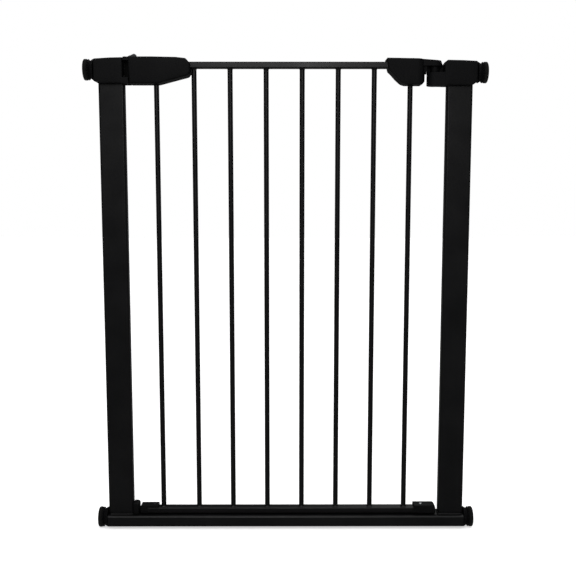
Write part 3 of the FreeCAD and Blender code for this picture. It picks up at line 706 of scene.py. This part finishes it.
def spindle_hole(corner):
    low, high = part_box(f"spindle_{corner}")
    radius = (high.z - low.z) / 2 + 0.1 * MM
    return rod("x", centre_across("x", low, high), radius, low.x, high.x)


# Outlines of the casings are corners (x, z, radius) in millimetres, seen from the front.
LATCH_CAP_OUTLINE = [
    (0, 4.9, 1.5), (9.5, 0, 3.5), (54, 0, 0.8), (54, 47.1, 1.2), (30, 46.6, 60), (0, 44.7, 3.2),
]
LATCH_SLOT_X = 54 * MM
LATCH_SLOT_HALF_DEPTH = 5.9 * MM
LIP_OUTLINE = [(-3, 0, 0), (11, 0, 1.0), (10, 11.3, 1.2), (-3, 11.3, 0)]


def latch_cap():
    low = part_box("latch_cap_front")[0]
    slot = low.x + LATCH_SLOT_X
    corners = in_metres(LATCH_CAP_OUTLINE, (low.x, low.z))
    lip_corners = in_metres(LIP_OUTLINE, (slot, low.z))
    lip_depth = CASE_HALF_DEPTH - CASE_CROWN
    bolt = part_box("latch_bolt")
    bolt_low = Vector((bolt[0].x - 2 * MM, bolt[0].y - MM, bolt[0].z - 1.5 * MM))
    bolt_high = Vector((slot + MM, bolt[1].y + MM, bolt[0].z + 22 * MM))
    for name, way in HALVES:
        cap = shell(f"latch_cap_{name}_shell", corners, way, CASE_HALF_DEPTH, CASE_EDGE)
        lip = slab("lip", lip_corners, "y", way * LATCH_SLOT_HALF_DEPTH, way * lip_depth, 0.9 * MM)
        cap = join(cap, lip)
        cap = cut(cap, post_room("left"), spindle_hole("upper_left"), plain_block(bolt_low, bolt_high))
        if way > 0:
            cap = in_back_shell(cap, LATCH_CAP_SCREWS)
        fit(cap, "casing_plastic", "frame", f"latch_cap_{name}")
    screw_group("latch_cap_screw_heads", "frame", "latch_cap_screws", LATCH_CAP_SCREWS)


def flared_neck(end, narrow, bottom, top):
    """Widens from the nose to the full depth of the cap, so that their front faces run together."""
    wide = CASE_HALF_DEPTH - CASE_CROWN
    corners = [(HINGE_X, -narrow, 0), (end, -wide, 0), (end, wide, 0), (HINGE_X, narrow, 0)]
    return slab("neck", corners, "z", bottom, top, 0.3 * MM)


def barrel_back_wall(start, bottom, top, radius):
    """The upright wall that closes the back of the space round the barrel."""
    wall = rod("z", (HINGE_X, 0), radius, bottom, top, LARGE_ROUND_STEPS)
    wall = join(wall, plain_block((HINGE_X, -radius, bottom), (start + MM, radius, top)))
    front_low = (HINGE_X - 2 * radius, -2 * radius, bottom - MM)
    front = plain_block(front_low, (start + 2 * radius, 2 * MM, top + MM))
    flange_room = rod("z", (HINGE_X, 0), SOCKET_RADIUS, top - 0.4 * MM, top + MM)
    return cut(wall, front, flange_room)


HINGE_CAP_OUTLINE = [
    (0, 0, 0.8), (51.5, 0, 4.0), (61.1, 6.4, 2.5), (61.1, 43.8, 3.2), (33.5, 45.2, 60),
    (5.5, 45.8, 1.2), (0, 38.4, 0.8),
]
HINGE_CAP_START = HINGE_X + 15.5 * MM
NOSE_RADIUS = 15 * MM
NOSE_HEIGHT = 24.4 * MM
BUSH_BORE_RADIUS = 7.1 * MM


def hinge_nose(bottom, top):
    """The round nose under the barrel. Its edges are eased more at the top than at the bottom."""
    ease = [(0, 0.8), (0.3, 0.2), (0.9, 0)]
    profile = [(bottom, 0)] + [(bottom + t * MM, NOSE_RADIUS - r * MM) for t, r in ease]
    ease = [(1.2, 0), (0.4, 0.35), (0, 1.2)]
    profile += [(top - t * MM, NOSE_RADIUS - r * MM) for t, r in ease] + [(top, 0)]
    return turned("nose", profile, "z", (HINGE_X, 0), LARGE_ROUND_STEPS)


def hinge_barrel(bottom, top):
    """The barrel, with a small fillet where it stands on the nose."""
    foot = [(-1.0, 0.8), (0.2, 0.5), (0.8, 0)]
    profile = [(bottom - MM, 0)] + [(bottom + t * MM, SOCKET_RADIUS + r * MM) for t, r in foot]
    profile += [(top - 0.5 * MM, SOCKET_RADIUS), (top, SOCKET_RADIUS - 0.5 * MM), (top, 0)]
    return turned("barrel", profile, "z", (HINGE_X, 0), 56)


def hinge_cap():
    low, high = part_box("hinge_cap_front")
    barrel_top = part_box("upper_hinge_bush")[1].z - 0.4 * MM
    nose_top = low.z + NOSE_HEIGHT
    corners = in_metres(HINGE_CAP_OUTLINE, (HINGE_CAP_START, low.z))
    neck_end = HINGE_CAP_START + 4 * MM
    far = 60 * MM
    for name, way in HALVES:
        cap = shell(f"hinge_cap_{name}_shell", corners, way, CASE_HALF_DEPTH, CASE_EDGE)
        nose = hinge_nose(low.z, nose_top)
        neck = flared_neck(neck_end, NOSE_RADIUS, low.z + 0.3 * MM, nose_top - 0.6 * MM)
        parts = [neck, hinge_barrel(nose_top, barrel_top)]
        other_low = (HINGE_X - far, min(0, -way * far), low.z - MM)
        other_high = (HINGE_X + far, max(0, -way * far), high.z + far)
        other_half = plain_block(other_low, other_high)
        if way > 0:
            wall_top = barrel_top + 0.4 * MM
            parts.append(barrel_back_wall(HINGE_CAP_START, nose_top - MM, wall_top, NOSE_RADIUS))
        bush_bore = rod("z", (HINGE_X, 0), BUSH_BORE_RADIUS, low.z + 2.4 * MM, high.z + MM)
        cap = join(cap, cut(join(nose, *parts), other_half, bush_bore))
        cap = cut(cap, post_room("right"), spindle_hole("upper_right"))
        if way > 0:
            cap = in_back_shell(cap, HINGE_CAP_SCREWS)
        fit(cap, "casing_plastic", "frame", f"hinge_cap_{name}")
    screw_group("hinge_cap_screw_heads", "frame", "hinge_cap_screws", HINGE_CAP_SCREWS)


def stop_block():
    """The buffer on the latch post's foot, with a tongue for the door's lower shoe."""
    low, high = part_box("lower_stop_block")
    body_end = low.x + 11 * MM
    outline = rectangle((low.x, low.z), (body_end, high.z), 0, 0.5 * MM, 5 * MM, MM)
    block = slab("stop_block_body", outline, "y", -12 * MM, 12 * MM, 1.2 * MM)
    tongue_low = (body_end - MM, low.z + 0.6 * MM)
    outline = rectangle(tongue_low, (high.x, low.z + 10.5 * MM), 0, 0.8 * MM, 2 * MM, 0)
    tongue = slab("tongue", outline, "y", -4.5 * MM, 4.5 * MM, 0.8 * MM)
    fit(join(block, tongue), "casing_plastic", "frame", "lower_stop_block")


# ---- Door --------------------------------------------------------------------

BAR_RADIUS = 4.8 * MM
RAIL_WALL = 1.2 * MM


def rails():
    for name in ("door_top_rail", "door_bottom_rail"):
        low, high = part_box(name)
        corners = rectangle(low[1:], high[1:], RAIL_CORNER)
        rail = section_tube(f"{name}_tube", corners, "x", low.x, high.x, RAIL_WALL)
        fit(rail, "frame_paint", "door", name)


def bars():
    """Each bar is tube, with the small fillet of a resistance weld where it meets each rail."""
    flare = [(0.0, 1.5), (0.35, 1.25), (0.9, 0.75), (1.6, 0.3), (2.4, 0.06), (3.2, 0.0)]
    number = 1
    while f"door_bar_{number}" in frame["nodes"]:
        low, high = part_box(f"door_bar_{number}")
        centre = ((low.x + high.x) / 2, 0.0)
        foot = [(low.z + t * MM, BAR_RADIUS + r * MM) for t, r in flare]
        head = [(high.z - t * MM, BAR_RADIUS + r * MM) for t, r in reversed(flare)]
        profile = [(low.z, 0)] + foot + head + [(high.z, 0)]
        bar = turned(f"door_bar_{number}_tube", profile, "z", centre, SMALL_ROUND_STEPS)
        fit(bar, "frame_paint", "door", f"door_bar_{number}")
        number += 1


def bar_room(number):
    low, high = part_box(f"door_bar_{number}")
    centre = ((low.x + high.x) / 2, 0)
    return rod("z", centre, BAR_RADIUS + 0.2 * MM, high.z - 60 * MM, high.z)


def rail_room():
    return room_for(*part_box("door_top_rail"), 0.1 * MM)


# The handle's outlines are measured from the lower right corner of its box.
HANDLE_LEFT = -114.2
HANDLE_OUTLINE = [
    (-112, 0, 1.2), (-60, 0, 16), (-5, 14.4, 5), (0, 20.6, 5), (0, 37.0, 6), (-8, 46.0, 6),
    (-26, 48.0, 40), (-70, 48.9, 90), (HANDLE_LEFT, 48.9, 1.0),
]
HANDLE_EDGE = 3.2 * MM
LUG_OUTLINE = rectangle((-123.2, 41.8), (-112, 48.3), 0.8, 0, 0, 1.0)
LUG_FOOT_OUTLINE = rectangle((-123.2, 39.8), (-112, 43), 0.4, 0, 0, 0)
RIDGE_OUTLINE = [(-123.0, 47.0, 0), (-119.7, 47.0, 0), (-120.2, 50.2, 0.9), (-122.4, 50.2, 0.9)]
LUG_HALF_DEPTH = CASE_HALF_DEPTH - 0.5 * MM
MIDDLE_GAP = 0.1 * MM


def half_slab(name, outline, origin, way, depth, edge):
    """A slab on one half of a casing, from just off the parting line to a depth."""
    return slab(name, in_metres(outline, origin), "y", way * MIDDLE_GAP, way * depth, edge)


def handle_rooms(left, top):
    """Room for the latch tongue, the bolt with its spring, and the stem of the thumb slide."""
    tongue_low, tongue_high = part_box("latch_tongue")
    gap = 0.15 * MM
    tongue_start = (tongue_low.x - MM, tongue_low.y - gap, tongue_low.z - gap)
    bolt_low, bolt_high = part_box("latch_bolt")
    slide_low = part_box("thumb_slide")[0]
    bolt_start = (left - 5 * MM, -3.4 * MM, bolt_low.z - 0.2 * MM)
    bolt_end = (bolt_high.x + 14 * MM, 3.4 * MM, bolt_low.z + 8.2 * MM)
    slot_start = slide_low.x + 2.9 * MM
    stem_end = (slot_start + 15.2 * MM, 3 * MM, top + 20 * MM)
    return [
        plain_block(tongue_start, tongue_high + Vector((gap, gap, gap))),
        plain_block(bolt_start, bolt_end),
        plain_block((slot_start, -3 * MM, bolt_low.z + 7 * MM), stem_end),
    ]


def handle():
    low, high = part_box("handle_front")
    origin = (high.x, low.z)
    corners = in_metres(HANDLE_OUTLINE, origin)
    for name, way in HALVES:
        grip = shell(f"handle_{name}_shell", corners, way, CASE_HALF_DEPTH, HANDLE_EDGE)
        foot_depth = LUG_HALF_DEPTH if way > 0 else 5.5 * MM
        lug = half_slab("lug", LUG_OUTLINE, origin, way, LUG_HALF_DEPTH, 0.6 * MM)
        ridge = half_slab("ridge", RIDGE_OUTLINE, origin, way, 8 * MM, 0.4 * MM)
        lug_foot = half_slab("lug_foot", LUG_FOOT_OUTLINE, origin, way, foot_depth, 0.3 * MM)
        grip = join(grip, lug, lug_foot, ridge)
        tongue_room, bolt_room, stem_room = handle_rooms(high.x + HANDLE_LEFT * MM, high.z)
        grip = cut(grip, tongue_room, rail_room(), bar_room(1), bolt_room, stem_room)
        if way > 0:
            grip = in_back_shell(grip, HANDLE_SCREWS, rail_room())
        fit(grip, "casing_plastic", "door", f"handle_{name}")
    screw_group("handle_screw_heads", "door", "handle_screws", HANDLE_SCREWS)


# The hinge casing's outlines are measured from the lower left corner of its box.
WEDGE_END = 72.2
WEDGE_OUTLINE = [
    (0, 47.6, 1.2), (4.5, 25.6, 6), (9.5, 21.2, 10), (19, 10.6, 30), (28.5, 2.4, 14), (36, 0, 12),
    (66, 0, 3), (71, 5.6, 3), (WEDGE_END, 34.0, 0.6), (WEDGE_END, 45.0, 0.6), (59, 46.6, 0),
]
WEDGE_EDGE = 1.4 * MM
WEDGE_ROUND_START = 57.0
ARM_BOTTOM = 34.1
ARM_OUTLINE = [
    (48, ARM_BOTTOM, 0), (105, ARM_BOTTOM, 0.8), (105, 35.6, 0.8), (100.5, 43.5, 1.6),
    (59, 46.6, 0), (48, 47.0, 0),
]
ARM_RADIUS = 14 * MM
WEB_OUTLINE = rectangle((60, 23.0), (75.4, 35.0), 0, 0.8, 0, 0)
WEB_FOOT_OUTLINE = rectangle((60, 19.6), (75.4, 24.0), 0, 0.8, 0, 0)
PIN_HOLE_RADIUS = 4.05 * MM
PLAN_STEPS = 28


def wedge_half(name, way, left, bottom, top):
    """The wedge: a shell with a solid right end, which is rounded in plan view."""
    outline = in_metres(WEDGE_OUTLINE, (left, bottom))
    casing = shell(name, outline, way, CASE_HALF_DEPTH, WEDGE_EDGE)
    core_depth = CASE_HALF_DEPTH - 1.2 * MM
    core = slab("core", moved_in(outline, 0.6 * MM), "y", way * PARTING, way * core_depth, MM)
    deep = CASE_HALF_DEPTH + MM
    hollow_end = (left + 54 * MM, deep, top + MM)
    casing = join(casing, cut(core, plain_block((left - MM, -deep, bottom - MM), hollow_end)))
    start = left + WEDGE_ROUND_START * MM
    end = left + WEDGE_END * MM
    plan = [Vector((left - 5 * MM, -deep)), Vector((start, -deep))]
    plan += half_turn(PLAN_STEPS, end - start, CASE_HALF_DEPTH, start)
    plan += [Vector((start, deep)), Vector((left - 5 * MM, deep))]
    return combine(casing, [plan_slab("plan", plan, bottom - MM, top + MM)], "INTERSECT")


def arm_half(way, left, bottom, top):
    """The arm over the barrel, with a round end about the hinge."""
    outline = in_metres(ARM_OUTLINE, (left, bottom))
    edge = 0.05 * MM
    arm = slab("arm", outline, "y", way * edge, way * (ARM_RADIUS + 0.01 * MM), edge)
    plan = [Vector((left + 40 * MM, -ARM_RADIUS)), Vector((left + 40 * MM, ARM_RADIUS))]
    plan += reversed(half_turn(PLAN_STEPS, ARM_RADIUS, ARM_RADIUS, HINGE_X))
    plan_bottom = bottom + ARM_BOTTOM * MM - MM
    return combine(arm, [plan_slab("arm_plan", plan, plan_bottom, top + MM)], "INTERSECT")


def hinge_casing():
    low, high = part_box("hinge_casing_front")
    origin = (low.x, low.z)
    arm_bottom = low.z + ARM_BOTTOM * MM
    for name, way in HALVES:
        casing = wedge_half(f"hinge_casing_{name}_shell", way, low.x, low.z, high.z)
        arm = arm_half(way, low.x, low.z, high.z)
        web = half_slab("web", WEB_OUTLINE, origin, way, 10 * MM, 0.3 * MM)
        foot = half_slab("web_foot", WEB_FOOT_OUTLINE, origin, way, 2 * MM, 0.2 * MM)
        casing = join(casing, arm, web, foot)
        pin_hole = rod("z", (HINGE_X, 0), PIN_HOLE_RADIUS, arm_bottom - MM, arm_bottom + 6.6 * MM)
        casing = cut(casing, rail_room(), bar_room(8), pin_hole)
        if way > 0:
            casing = in_back_shell(casing, HINGE_CASING_SCREWS, rail_room())
        fit(casing, "casing_plastic", "door", f"hinge_casing_{name}")
    screw_group("hinge_casing_screw_heads", "door", "hinge_casing_screws", HINGE_CASING_SCREWS)


def lower_shoes():
    """The two plastic shoes on the bottom rail: one straddles the stop, one carries the lower pin."""
    rail_low, rail_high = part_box("door_bottom_rail")
    side_gap = 0.1 * MM
    ceiling = rail_high.z + 0.05 * MM

    low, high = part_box("lower_latch_shoe")
    outline = rectangle((low.x, low.z), (high.x, high.z), 0.6 * MM, 0, 2 * MM, 3 * MM)
    shoe = slab("lower_latch_shoe_block", outline, "y", low.y, high.y, MM)
    fork = plain_block((low.x - MM, -5.3 * MM, low.z - MM), (low.x + 10 * MM, 5.3 * MM, low.z + 11 * MM))
    below_low = (rail_low.x - side_gap, low.y - MM, low.z - MM)
    below = plain_block(below_low, (high.x + MM, high.y + MM, ceiling))
    fit(cut(shoe, fork, below), "casing_plastic", "door", "lower_latch_shoe")

    low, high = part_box("lower_hinge_shoe")
    outline = rectangle((low.x, low.z), (high.x, high.z), 0.6 * MM, MM, 5 * MM, 1.5 * MM)
    shoe = slab("lower_hinge_shoe_block", outline, "y", low.y, high.y, 1.2 * MM)
    room_low = (rail_low.x - side_gap, rail_low.y - side_gap, rail_low.z - MM)
    room = plain_block(room_low, (rail_high.x + side_gap, rail_high.y + side_gap, ceiling))
    fit(cut(shoe, room), "casing_plastic", "door", "lower_hinge_shoe")


def lower_screws():
    """Domed screws that hold the shoes down on the bottom rail."""
    for side, slot in (("latch", "screw_steel"), ("hinge", "plated_steel")):
        low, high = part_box(f"lower_{side}_screw")
        centre = centre_across("z", low, high)
        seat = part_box(f"lower_{side}_shoe")[1].z
        rise = high.z - seat
        radius = (high.x - low.x) / 2
        profile = [(low.z, 0), (low.z, SHANK_RADIUS), (seat, SHANK_RADIUS), (seat, radius)]
        for angle in quarter_turn(6)[1:-1]:
            profile.append((seat + rise * math.sin(angle), radius * math.cos(angle)))
        profile.append((high.z, 0))
        screw = turned(f"lower_{side}_screw_dome", profile, "z", centre, SMALL_ROUND_STEPS)
        screw = cross_recess(screw, "z", centre, 1.9 * MM, 0.4 * MM, high.z - 0.7 * MM, high.z + MM)
        fit(screw, slot, "door", f"lower_{side}_screw")


# ---- Release -----------------------------------------------------------------


def thumb_slide():
    """A ramped thumb button with three grip grooves across it."""
    low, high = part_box("thumb_slide")
    length = (high.x - low.x) / MM
    corners = [(0, 0, 0), (length, 0, 0), (length, 5.1, 0.6), (length - 3, 5.9, 1.2)]
    for number in range(3):
        u = length - 5.0 - 2.2 * number
        v = 5.2 - 0.95 * number
        corners += [(u + 0.75, v + 0.1, 0.25), (u, v - 0.75, 0.3), (u - 0.75, v - 0.25, 0.25)]
    corners += [(1.6, 2.0, 1.0), (0, 1.3, 0.5)]
    slide = slab("thumb_slide_button", in_metres(corners, (low.x, low.z)), "y", low.y, high.y, 0.7 * MM)
    fit(slide, "slide_plastic", "release", "thumb_slide")


SPRING_WIRE = 0.5 * MM
SPRING_TURNS = 6
COIL_STEPS = 28
WIRE_SIDES = 8


def bolt_spring():
    """A compression spring behind the bolt: round wire wound along X."""
    low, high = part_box("bolt_spring")
    length = high.x - low.x
    radius = (high.z - low.z) / 2 - SPRING_WIRE
    y, z = centre_across("x", low, high)
    total = COIL_STEPS * SPRING_TURNS
    mesh = bmesh.new()
    rings = []
    for number in range(total + 1):
        share = number / total
        angle = 2 * math.pi * SPRING_TURNS * share
        x = low.x + SPRING_WIRE + (length - 2 * SPRING_WIRE) * share
        outward = Vector((0, math.cos(angle), math.sin(angle)))
        middle = Vector((x, y, z)) + outward * radius
        rings.append(circle(mesh, middle, SPRING_WIRE, outward, Vector((1, 0, 0)), WIRE_SIDES))
    spring = capped("bolt_spring_coil", mesh, rings)
    fit(spring, "plated_steel", "door", "bolt_spring")
    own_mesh(spring)


# ---- Wall fixings ------------------------------------------------------------

THREAD_PITCH = 3 * MM
THREAD_DEPTH = 0.9 * MM
SLICES_PER_TURN = 8
THREAD_SIDES = 32
PAD_BORE = 4.6 * MM
FLUTES = 22
FLUTE_DEPTH = 0.75 * MM
FLUTE_FROM = 15 * MM
FLUTE_SIDES = 12
WHEEL_BORE = 4.62


def wall_pad(corner, way, centre):
    """A pressed rubber foot, ribbed on its wall side and hollow for the spindle on the other."""
    low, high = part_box(f"wall_pad_{corner}")
    wall = high.x if way > 0 else low.x
    radius = (high.z - low.z) / 2
    thickness = high.x - low.x
    profile = [(0.9, 0.0), (0.9, 3.0)]
    for rib in (5.0, 9.0, 13.0):
        profile += [(0.9, rib - 1.1), (0.25, rib - 0.6), (0.25, rib + 0.6), (0.9, rib + 1.1)]
    profile = [(t * MM, r * MM) for t, r in profile]
    profile += [(0.9 * MM, radius - 3.6 * MM), (0.1 * MM, radius - 3.0 * MM), (0.0, radius - 2.4 * MM)]
    front = 2.2 * MM
    back = 1.8 * MM
    for angle in quarter_turn(6):
        profile.append((front * (1 - math.cos(angle)), radius - front * (1 - math.sin(angle))))
    for angle in quarter_turn(6):
        profile.append((thickness - back * (1 - math.sin(angle)), radius - back * (1 - math.cos(angle))))
    profile += [(thickness, PAD_BORE), (2.6 * MM, PAD_BORE), (2.6 * MM, 0.0)]
    profile = [(wall - way * t, r) for t, r in profile]
    pad = turned(f"wall_pad_{corner}_rubber", profile, "x", centre, LARGE_ROUND_STEPS)
    fit(pad, "pad_rubber", f"spindle_{corner}", f"wall_pad_{corner}")


def threaded_spindle(corner, way, centre):
    """A rolled rod: one continuous thread, with a run-out and a chamfer at its inner end."""
    low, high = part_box(f"spindle_{corner}")
    inner_end, outer_end = (low.x, high.x) if way > 0 else (high.x, low.x)
    radius = (high.z - low.z) / 2
    length = high.x - low.x
    steps = int(length / THREAD_PITCH * SLICES_PER_TURN)

    def thread(angle, along, base):
        travelled = abs(along - outer_end)
        turn = travelled / THREAD_PITCH + way * angle / (2 * math.pi)
        wave = abs((turn % 1.0) * 2 - 1)
        groove = max(0.0, min(1.0, wave * 1.6 - 0.3))
        run_out = min(1.0, travelled / (6 * MM), (length - travelled) / (1.5 * MM))
        return base - THREAD_DEPTH * groove * max(0.0, run_out)

    profile = [(outer_end, 0)]
    for number in range(steps + 1):
        profile.append((outer_end + (inner_end - outer_end) * number / steps, radius))
    profile[-1] = (profile[-1][0], radius - MM)
    profile.append((inner_end, 0))
    spindle = turned(f"spindle_{corner}_thread", profile, "x", centre, THREAD_SIDES, thread)
    fit(spindle, "plated_steel", f"spindle_{corner}", f"spindle_{corner}")


def hand_wheel(corner, way, centre):
    """A moulded adjusting wheel: two flanges with a waist between them, fluted for grip."""
    low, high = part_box(f"adjusting_wheel_{corner}")
    start = high.x if way > 0 else low.x
    radius = (high.z - low.z) / 2
    width = high.x - low.x
    rim = radius / MM
    shape = [(0.0, WHEEL_BORE), (0.0, 12.0), (0.25, 16.2), (0.7, rim - 0.8), (1.3, rim - 0.1), (1.8, rim)]
    shape += [(2.3, rim - 0.4), (3.5, rim - 2.9), (3.9, rim - 3.2), (4.4, rim - 3.0), (6.0, rim - 2.1)]
    shape += [(8.2, rim - 0.7), (9.4, rim), (10.1, rim), (10.7, rim - 0.5)]
    shape += [(width / MM, rim - 1.5), (width / MM, WHEEL_BORE)]

    def fluted(angle, along, base):
        if base < FLUTE_FROM:
            return base
        bite = max(0.0, math.cos(FLUTES * angle)) ** 2
        return base - FLUTE_DEPTH * bite * min(1.0, (base - FLUTE_FROM) / (3.5 * MM))

    profile = [(start - way * t * MM, r * MM) for t, r in shape]
    wheel = turned(f"adjusting_wheel_{corner}_fluted", profile, "x", centre, FLUTES * FLUTE_SIDES, fluted)
    fit(wheel, "casing_plastic", f"wheel_{corner}", f"adjusting_wheel_{corner}")


def wall_fixings():
    for corner in ("upper_left", "upper_right", "lower_left", "lower_right"):
        way = 1 if "right" in corner else -1
        centre = centre_across("x", *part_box(f"spindle_{corner}"))
        wall_pad(corner, way, centre)
        threaded_spindle(corner, way, centre)
        hand_wheel(corner, way, centre)


# ---- CAD nodes that stay as they are -----------------------------------------


def carried_over():
    """Pieces that no other piece replaces keep their CAD shape and take a real finish."""
    slots = {part["node"]: part["material_slot"] for part in frame["record"]["subparts"]}
    for name, thing in frame["nodes"].items():
        if not thing.hide_render:
            thing.data.materials.clear()
            thing.data.materials.append(FINISHES[slots[name]])


# ---- Studio ------------------------------------------------------------------

FLOOR_TONE = "#fbfbfb"
FLOOR_SIZE = 9.0


def floor():
    """A white light table with rounded corners. It shines up at the object's undersides."""
    mesh = bmesh.new()
    corners = rectangle((-FLOOR_SIZE, -FLOOR_SIZE), (FLOOR_SIZE, FLOOR_SIZE), 2.0)
    mesh.faces.new(ring(mesh, "z", rounded(corners), 0.0))
    plane = make("studio_floor", mesh)
    tone = colour(FLOOR_TONE)
    glow = {"Emission Color": tone, "Emission Strength": 0.55}
    settings = {"Roughness": 0.95, "Specular IOR Level": 0.0, "Base Color": tone, **glow}
    material = new_finish("studio_light_table", settings)[0]
    plane.data.materials.append(material)
    plane.visible_glossy = False


def studio_world():
    """White behind the object, and a dim room around it that is brighter below than above."""
    world = bpy.data.worlds.new("studio")
    world.use_nodes = True
    tree = world.node_tree
    tree.nodes.clear()
    direction = add(tree, "ShaderNodeTexCoord").outputs["Generated"]
    height = add(tree, "ShaderNodeSeparateXYZ", links={"Vector": direction}).outputs["Z"]
    strength = between(tree, height, 0.16, 0.05, -0.15, 0.1)
    room = add(tree, "ShaderNodeBackground", {"Color": colour("#ffffff")}, {"Strength": strength})
    backdrop = add(tree, "ShaderNodeBackground", {"Color": colour("#ffffff"), "Strength": 1.0})
    seen = add(tree, "ShaderNodeLightPath").outputs["Is Camera Ray"]
    mix = add(tree, "ShaderNodeMixShader", links={"Fac": seen})
    tree.links.new(room.outputs["Background"], mix.inputs[1])
    tree.links.new(backdrop.outputs["Background"], mix.inputs[2])
    add(tree, "ShaderNodeOutputWorld", links={"Surface": mix.outputs["Shader"]})
    SCENE.world = world


def lamp(name, kind, place, aim, energy, size):
    data = bpy.data.lights.new(name, kind)
    data.energy = energy
    if kind == "SUN":
        data.angle = size
    else:
        data.shape = "RECTANGLE"
        data.size, data.size_y = size
    thing = bpy.data.objects.new(name, data)
    thing.location = place
    thing.rotation_euler = (Vector(aim) - Vector(place)).to_track_quat("-Z", "Y").to_euler()
    SCENE.collection.objects.link(thing)


def studio_lights():
    low, high = cad_bounds
    middle = (Vector(low) + Vector(high)) / 2
    lamp("overhead_sun", "SUN", middle + Vector((0.3, -0.6, 3)), middle, 2.0, math.radians(100))
    upper = middle + Vector((0, 0, 0.3))
    lamp("front_strip", "AREA", middle + Vector((0.0, -2.3, 1.0)), upper, 13, (0.35, 0.9))
    lamp("side_softbox", "AREA", middle + Vector((-1.4, -1.9, 1.6)), middle, 10, (1.2, 0.7))
    lamp("back_softbox", "AREA", middle + Vector((0.9, 2.3, 1.5)), middle, 9, (1.2, 0.7))


LENS_MM = 54.0
SENSOR_MM = 36.0
# The camera stands in front of the gate at about three quarters of its height and looks down a little.
CAMERA_SIDE = 0.0003
CAMERA_BACK = 1.6415
CAMERA_HEIGHT = 0.6740
CAMERA_PITCH = math.radians(6.94)
CAMERA_YAW = math.radians(-0.14)


def camera():
    data = bpy.data.cameras.new("camera")
    data.lens = LENS_MM
    data.sensor_width = SENSOR_MM
    data.clip_end = 50
    thing = bpy.data.objects.new("camera", data)
    thing.location = (CAMERA_SIDE, -CAMERA_BACK, CAMERA_HEIGHT)
    thing.rotation_euler = (math.pi / 2 - CAMERA_PITCH, 0, CAMERA_YAW)
    SCENE.collection.objects.link(thing)
    SCENE.camera = thing


SCENE.view_settings.view_transform = "Standard"
posts()
bottom_bar()
welds()
latch_cap()
hinge_cap()
stop_block()
rails()
bars()
handle()
hinge_casing()
lower_shoes()
lower_screws()
thumb_slide()
bolt_spring()
wall_fixings()
carried_over()
floor()
studio_world()
studio_lights()
camera()
